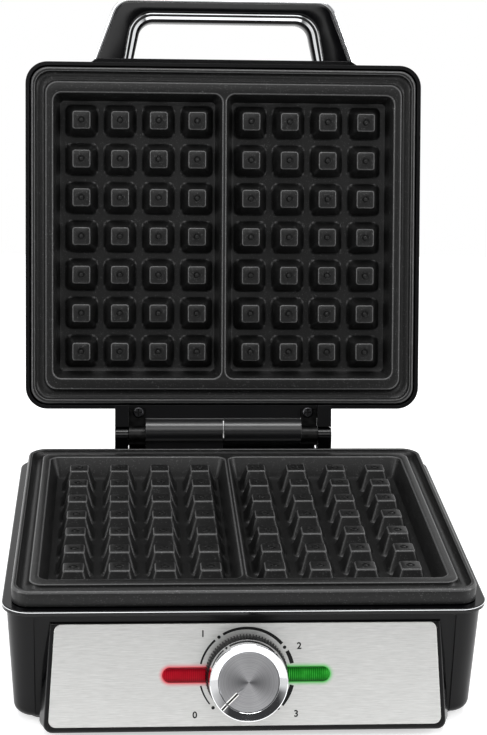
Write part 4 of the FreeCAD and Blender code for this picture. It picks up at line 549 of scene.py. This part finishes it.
def ribbedSkirt():
    bm = bmesh.new()
    step = 2 * pi / knob["ribs"]
    chains = []
    for radius, z in knob["skirt"]:
        verts = []
        for part, sink in knob["rib"]:
            r, turn = radius - sink * knob["ribDepth"], part * step
            verts.append(bm.verts.new((r * cos(turn), r * sin(turn), z)))
        chains.append([bm.edges.new(pair) for pair in zip(verts, verts[1:])])
    for first, second in zip(chains, chains[1:]):
        bmesh.ops.bridge_loops(bm, edges=first + second)
    bmesh.ops.spin(bm, geom=bm.verts[:] + bm.edges[:] + bm.faces[:], cent=(0, 0, 0), axis=(0, 0, 1),
                   angle=2 * pi, steps=knob["ribs"], use_duplicate=True)
    bmesh.ops.remove_doubles(bm, verts=bm.verts, dist=1e-3)
    closeHoles(bm)
    splitLargeFaces(bm)
    return newPiece("knobSkirt", bm, panelFrame, moulded, "knob", "knob_body", sharp=30)


def turnedRing():
    bm = bmesh.new()
    verts = [bm.verts.new((radius, 0, z)) for radius, z in knob["ring"]]
    edges = [bm.edges.new(pair) for pair in zip(verts, verts[1:])]
    bmesh.ops.spin(bm, geom=verts + edges, cent=(0, 0, 0), axis=(0, 0, 1), angle=2 * pi,
                   steps=knob["ringSteps"], use_merge=True)
    bmesh.ops.remove_doubles(bm, verts=bm.verts, dist=1e-4)
    return newPiece("knobRing", bm, panelFrame, chrome, "knob", "knob_collar", sharp=12)


def pointerStripe(name, ends, width, lift, material):
    bm = bmesh.new()
    (near, low), (far, high) = ends
    length, slope = far - near, atan((high - low) / (far - near))
    size = length / cos(slope), width, knob["thick"], 1
    place = (Matrix.Rotation(radians(knob["pointerTurn"]), 4, "Z")
             @ Matrix.Translation(((near + far) / 2, 0, (low + high) / 2 + lift))
             @ Matrix.Rotation(-slope, 4, "Y") @ Matrix.Diagonal(size))
    bmesh.ops.create_cube(bm, size=1, matrix=place)
    bmesh.ops.bevel(bm, geom=bm.edges[:], offset=knob["edge"], segments=2, profile=0.5, affect="EDGES",
                    material=-1)
    return newPiece(name, bm, panelFrame, material, "knob")


ribbedSkirt()
turnedRing()
pointerStripe("grooveFill", knob["inGroove"], knob["filled"], 0, spun)  # the pointer starts further out
# pointer groove: painted highlight in white, painted shade in black, on the disc and on the ring
pointerStripe("pointerStripe", knob["onDisc"], knob["glintWidth"], 0, glintWhite)
pointerStripe("pointerGrooveShade", knob["onDisc"], knob["core"], knob["coreLift"], inkAndShade)
pointerStripe("ringGlintStripe", knob["onRing"], knob["glintWidth"], 0, glintWhite)
pointerStripe("ringGrooveShade", knob["onRing"], knob["core"], knob["coreLift"], inkAndShade)
print("knob turned")


# light bars: pills with a domed top, from under the knob outwards; lightBar stands with the materials

def lightPill(name, side, material, stands):
    b = lightBar
    length, high = b["far"] - b["near"], 2 * b["half"]
    sections = []
    for inset, z in ((0, b["foot"]), *b["dome"]):
        corner = b["half"] - inset - b["flat"]  # just short of a half circle
        sections.append((length - 2 * inset, high - 2 * inset, corner, z))
    bm = bmesh.new()
    skin(bm, sections, side * (b["far"] + b["near"]) / 2, segments=b["segments"])
    closeHoles(bm)
    return newPiece(name, bm, panelFrame, material, "base", stands, sharp=50)


lightPill("redLightBar", -1, redBar, "red_lens")
lightPill("greenLightBar", 1, greenBar, "green_lens")
print("light bars moulded")


# printing on the fascia: a scale that thickens, dots and plain digits
# an arc has its turns in degrees and its widths at both ends

scale = {"radius": 23, "face": 0.2, "lift": 0.03, "dot": 0.85, "steps": 24, "digit": 4.6, "bold": 0.12,
         "arcs": ((219, 193.5, 0.7, 0.85), (166.5, 132, 0.9, 1.1), (120, 41, 1.25, 1.6),
                  (30, 13.5, 1.9, 2.0), (-13.5, -41, 2.1, 2.2)),
         "dots": (225, 126, 35.5, -47),
         "digits": {"0": (-25.2, -19.9), "1": (-21.4, 20.2), "2": (25.9, 13.9), "3": (24.6, -19.7)}}


def printedScale():
    bm = bmesh.new()
    z, steps = scale["face"] + scale["lift"], scale["steps"]
    for start, end, thin, thick in scale["arcs"]:
        chains = []
        for way in (-0.5, 0.5):
            verts = []
            for k in range(steps + 1):
                turn = radians(start + (end - start) * k / steps)
                radius = scale["radius"] + way * (thin + (thick - thin) * k / steps)
                verts.append(bm.verts.new((radius * cos(turn), radius * sin(turn), z)))
            chains.append([bm.edges.new(pair) for pair in zip(verts, verts[1:])])
        bmesh.ops.bridge_loops(bm, edges=chains[0] + chains[1])
    for turn in scale["dots"]:
        spot = scale["radius"] * cos(radians(turn)), scale["radius"] * sin(radians(turn)), z
        bmesh.ops.create_circle(bm, cap_ends=True, segments=steps, radius=scale["dot"],
                                matrix=Matrix.Translation(spot))
    bmesh.ops.recalc_face_normals(bm, faces=bm.faces)
    bmesh.ops.solidify(bm, geom=bm.faces[:], thickness=scale["lift"])
    return newPiece("printedScale", bm, panelFrame, inkAndShade, "base")


def printedDigit(word, x, y):
    text = bpy.data.curves.new("digit" + word, "FONT")
    text.body, text.size, text.offset = word, scale["digit"], scale["bold"]
    text.align_x, text.align_y = "CENTER", "CENTER"
    letter = bpy.data.objects.new("digit" + word, text)
    bpy.context.scene.collection.objects.link(letter)
    mesh = bpy.data.meshes.new_from_object(letter.evaluated_get(bpy.context.evaluated_depsgraph_get()))
    bpy.data.objects.remove(letter)
    bm = bmesh.new()
    bm.from_mesh(mesh)
    bmesh.ops.translate(bm, verts=bm.verts, vec=(x, y, scale["face"] + scale["lift"]))
    bmesh.ops.solidify(bm, geom=bm.faces[:], thickness=scale["lift"])
    return newPiece("printedDigit" + word, bm, panelFrame, inkAndShade, "base")


printedScale()
for word, spot in scale["digits"].items():
    printedDigit(word, *spot)
print("fascia printed")


# cross-head screws on the hinge leaves, drawn head down in the lid's frame

screw = {"x": 51, "back": 14, "lip": 1.0, "top": -1.2, "radius": 3.3, "segments": 32,
         "crown": ((0, 0.9), (0.25, 0.4), (0.8, 0)),  # inset and height from the top
         "cross": 2.3, "slot": 0.45, "sink": 1.0, "taper": 0.75}


def crossScrew(bm, x, y):
    s = screw
    middle = Matrix.Translation((-x, -y, 0))
    head = bmesh.ops.create_circle(bm, cap_ends=True, segments=s["segments"], radius=s["radius"],
                                   matrix=Matrix.Translation((x, y, s["lip"])))
    face = head["verts"][0].link_faces[0]
    for inset, rise in s["crown"]:
        face = bmesh.ops.extrude_discrete_faces(bm, faces=[face])["faces"][0]
        flat = (s["radius"] - inset) / (face.verts[0].co.xy - Vector((x, y))).length
        bmesh.ops.scale(bm, vec=(flat, flat, 1), space=middle, verts=face.verts)
        bmesh.ops.translate(bm, vec=(0, 0, s["top"] + rise - face.verts[0].co.z), verts=face.verts)
    rimEdges = list(face.edges)
    bmesh.ops.delete(bm, geom=[face], context="FACES_ONLY")
    a, b = s["slot"], s["cross"]
    corners = ((b, -a), (b, a), (a, a), (a, b), (-a, b), (-a, a),
               (-b, a), (-b, -a), (-a, -a), (-a, -b), (a, -b), (a, -a))
    slot = bm.faces.new([bm.verts.new((x + u, y + v, s["top"])) for u, v in corners])
    mouth = list(slot.edges)
    bottom = bmesh.ops.extrude_discrete_faces(bm, faces=[slot])["faces"][0]
    bmesh.ops.scale(bm, vec=(s["taper"], s["taper"], 1), space=middle, verts=bottom.verts)
    bmesh.ops.translate(bm, vec=(0, 0, s["sink"]), verts=bottom.verts)
    for vert in bottom.verts:
        for near in vert.link_faces:
            near.material_index = 1  # painted shade in the cross recess
    bmesh.ops.triangle_fill(bm, edges=rimEdges + mouth, use_beauty=True)


def leafScrews():
    bm = bmesh.new()
    for side in (-1, 1):
        crossScrew(bm, side * screw["x"], hingeBack - screw["back"])
    closeHoles(bm)
    # the cross recess takes the dark ink as painted shade
    return newPiece("leafCrossScrews", bm, lidFrame, darkZinc, "lid", "leaf_screws", sharp=30,
                    edges=inkAndShade)


leafScrews()
print("screws cut")


# curved lips at the hinge that close the view past barrel and leaf
# radii and turns are from the pin, and a turn of 0 is straight back

lips = {"dripLip": {"from": -57, "to": 0.6, "low": 38, "high": 66, "inside": 10.4, "outside": 11.8,
                    "body": "lid", "slot": "black_plastic"},  # under the hinge block, outside the barrel
        "leafGuard": {"from": -58, "to": -46, "low": -55, "high": 64, "inside": 9.0, "outside": 10.1,
                      "body": "base", "slot": "gloss_black_plastic"}}  # inside the circle the lid sweeps


def hingeLip(name):
    p = lips[name]
    bm = bmesh.new()
    start = radians(p["low"])
    ends = [bm.verts.new((p["from"], r * cos(start), r * sin(start))) for r in (p["inside"], p["outside"])]
    bmesh.ops.spin(bm, geom=ends + [bm.edges.new(ends)], cent=(0, 0, 0), axis=(1, 0, 0),
                   angle=radians(p["high"] - p["low"]), steps=16)
    swept = bmesh.ops.extrude_face_region(bm, geom=bm.faces[:])
    verts = [piece for piece in swept["geom"] if isinstance(piece, bmesh.types.BMVert)]
    bmesh.ops.translate(bm, vec=(p["to"] - p["from"], 0, 0), verts=verts)
    return newPiece(name, bm, Matrix.Translation(hinge) @ toMetres, moulded, p["body"])


# bright bead on the trim ring's upper edge, measured from the plate's face

ringBead = {"width": 239.2, "depth": 209.2, "corner": 14, "low": -9.05, "high": -8.75, "out": 0.06, "in": 0.5}


def ringEdge():
    r = ringBead
    bm = bmesh.new()
    corners = (-r["in"], r["low"]), (r["out"], r["low"]), (r["out"], r["high"]), (-r["in"], r["high"])
    sections = [(r["width"] + 2 * out, r["depth"] + 2 * out, r["corner"] + out, z) for out, z in corners]
    loops = skin(bm, sections, segments=16, cap=False)
    bmesh.ops.bridge_loops(bm, edges=loops[0] + loops[-1])
    return newPiece("ringEdgeBead", bm, lowerFrame, chrome, "base")


for name in lips:
    hingeLip(name)
ringEdge()
print("lips and bead added")


# studio: pale floor, a room that is darker round the camera, soft boxes, camera where the photo was taken

studio = {"floor": 1.6, "paper": ("#f1f1f1", "#f7f7f7"), "paperGlow": 0.55, "wall": "#ffffff",
          "fill": "#8c8d8f",
          "rise": (-0.4, 1.0), "behind": (-0.1, 0.25), "beside": (0.35, 0.6),  # of a ray's z, y and x
          "front": ((0.07, "#2a2a2b"), (0.18, "#ececec"), (0.33, "#ececec"), (0.4, "#3c3c3d"),
                    (0.7, "#3c3c3d"), (0.86, "#dcdcdc"))}  # bright at eye level, dark round the camera


def straightRays(tree):  # what camera, mirrors and glass see
    path = addNode(tree, "LightPath").node
    sharp = addNode(tree, "Math", {"operation": "MAXIMUM"},
                    {0: path.outputs["Is Camera Ray"], 1: path.outputs["Is Glossy Ray"]})
    clear = {0: sharp, 1: path.outputs["Is Transmission Ray"]}
    return addNode(tree, "Math", {"operation": "MAXIMUM"}, clear), path


def layPaper():  # matt paper floor that glows to white and keeps the shadow
    paper, tree, shader, coords = newMaterial("studioPaper", studio["paper"][0], 0.9, Specular_IOR_Level=0.1)
    fibre = addNode(tree, "TexNoise", {"Scale": perMetre(40), "Detail": 3}, {"Vector": coords})
    stops = (0.3, studio["paper"][0]), (0.7, studio["paper"][1])
    addNode(tree, "ValToRGB", {"stops": stops}, {"Fac": fibre}, into=shader["Base Color"])
    shader["Emission Color"].default_value = linear(studio["wall"])
    glow = {"operation": "MULTIPLY", 1: studio["paperGlow"]}
    addNode(tree, "Math", glow, {0: straightRays(tree)[0]}, into=shader["Emission Strength"])
    bm = bmesh.new()
    bmesh.ops.create_grid(bm, x_segments=8, y_segments=8, size=studio["floor"] / 2)
    mesh = bpy.data.meshes.new("studioFloor")
    bm.to_mesh(mesh)
    bm.free()
    mesh.materials.append(paper)
    floor = bpy.data.objects.new("studioFloor", mesh)
    bpy.context.scene.collection.objects.link(floor)


def roomSpan(part):
    return dict(zip(("From Min", "From Max"), studio[part]))


def buildRoom():  # white for the camera, shaped walls for mirrors, an even fill for the rest
    world = bpy.data.worlds.new("studioRoom")
    world.use_nodes = True
    bpy.context.scene.world = world
    world.cycles.sampling_method = "NONE"  # so that each ray sees the room its own way
    tree = world.node_tree
    way = addNode(tree, "TexCoord", take="Generated")  # the direction that a ray looks in
    axes = addNode(tree, "SeparateXYZ", links={"Vector": way}).node
    rise = addNode(tree, "MapRange", roomSpan("rise"), {"Value": axes.outputs["Z"]})
    room = addNode(tree, "ValToRGB", {"stops": studio["front"]}, {"Fac": rise})
    behind = addNode(tree, "MapRange", roomSpan("behind"), {"Value": axes.outputs["Y"]})
    beside = addNode(tree, "Math", {"operation": "ABSOLUTE"}, {0: axes.outputs["X"]})
    beside = addNode(tree, "MapRange", roomSpan("beside"), {"Value": beside})
    white = addNode(tree, "Math", {"operation": "MAXIMUM"}, {0: behind, 1: beside})
    wall = {"Color2": linear(studio["wall"])}
    seenRoom = addNode(tree, "MixRGB", wall, {"Fac": white, "Color1": room})
    sharp, path = straightRays(tree)
    seenRoom = addNode(tree, "MixRGB", wall, {"Fac": path.outputs["Is Camera Ray"], "Color1": seenRoom})
    seen = addNode(tree, "Background", {"Strength": 1.0}, {"Color": seenRoom})
    fill = addNode(tree, "Background", {"Color": linear(studio["fill"]), "Strength": 1.0})
    surface = tree.nodes["World Output"].inputs["Surface"]
    addNode(tree, "MixShader", None, {0: sharp, 1: fill, 2: seen}, into=surface)


softBoxes = {  # metres
    "overhead": {"at": (0.0, -0.1, 1.4), "towards": (0, 0.0, 0.1), "size": (1.2, 0.3), "watts": 13},
    "leftStrip": {"at": (-1.2, -0.45, 0.55), "towards": (0, 0, 0.12), "size": (0.14, 1.1), "watts": 9},
    "rightStrip": {"at": (1.2, -0.45, 0.55), "towards": (0, 0, 0.12), "size": (0.14, 1.1), "watts": 10},
    "highFront": {"at": (-0.25, -1.3, 1.3), "towards": (0, 0, 0.12), "size": (1.2, 0.7), "watts": 7},
}


def hangSoftBox(name):
    box = softBoxes[name]
    lamp = bpy.data.lights.new(name, "AREA")
    lamp.shape, lamp.size, lamp.size_y, lamp.energy = "RECTANGLE", *box["size"], box["watts"]
    holder = bpy.data.objects.new(name, lamp)
    holder.location = box["at"]
    aim = Vector(box["towards"]) - Vector(box["at"])
    holder.rotation_euler = aim.to_track_quat("-Z", "Y").to_euler()
    bpy.context.scene.collection.objects.link(holder)


view = {"from": (-61.805, -910.046, 375.211), "turn": (72.19243, -1.27677, -3.65193), "lens": 89.164,
        "sensor": 36}  # fitted to the photo, from the plate's middle


def placeCamera():
    camera = bpy.data.cameras.new("photoCamera")
    camera.lens, camera.sensor_width = view["lens"], view["sensor"]
    photographer = bpy.data.objects.new("photoCamera", camera)
    photographer.location = plateMiddle + Vector(view["from"]) * mm
    photographer.rotation_euler = Euler([radians(angle) for angle in view["turn"]], "XYZ")
    bpy.context.scene.collection.objects.link(photographer)
    bpy.context.scene.camera = photographer


layPaper()
buildRoom()
for name in softBoxes:
    hangSoftBox(name)
placeCamera()
bpy.context.scene.view_settings.view_transform = "Standard"
print("studio lit")
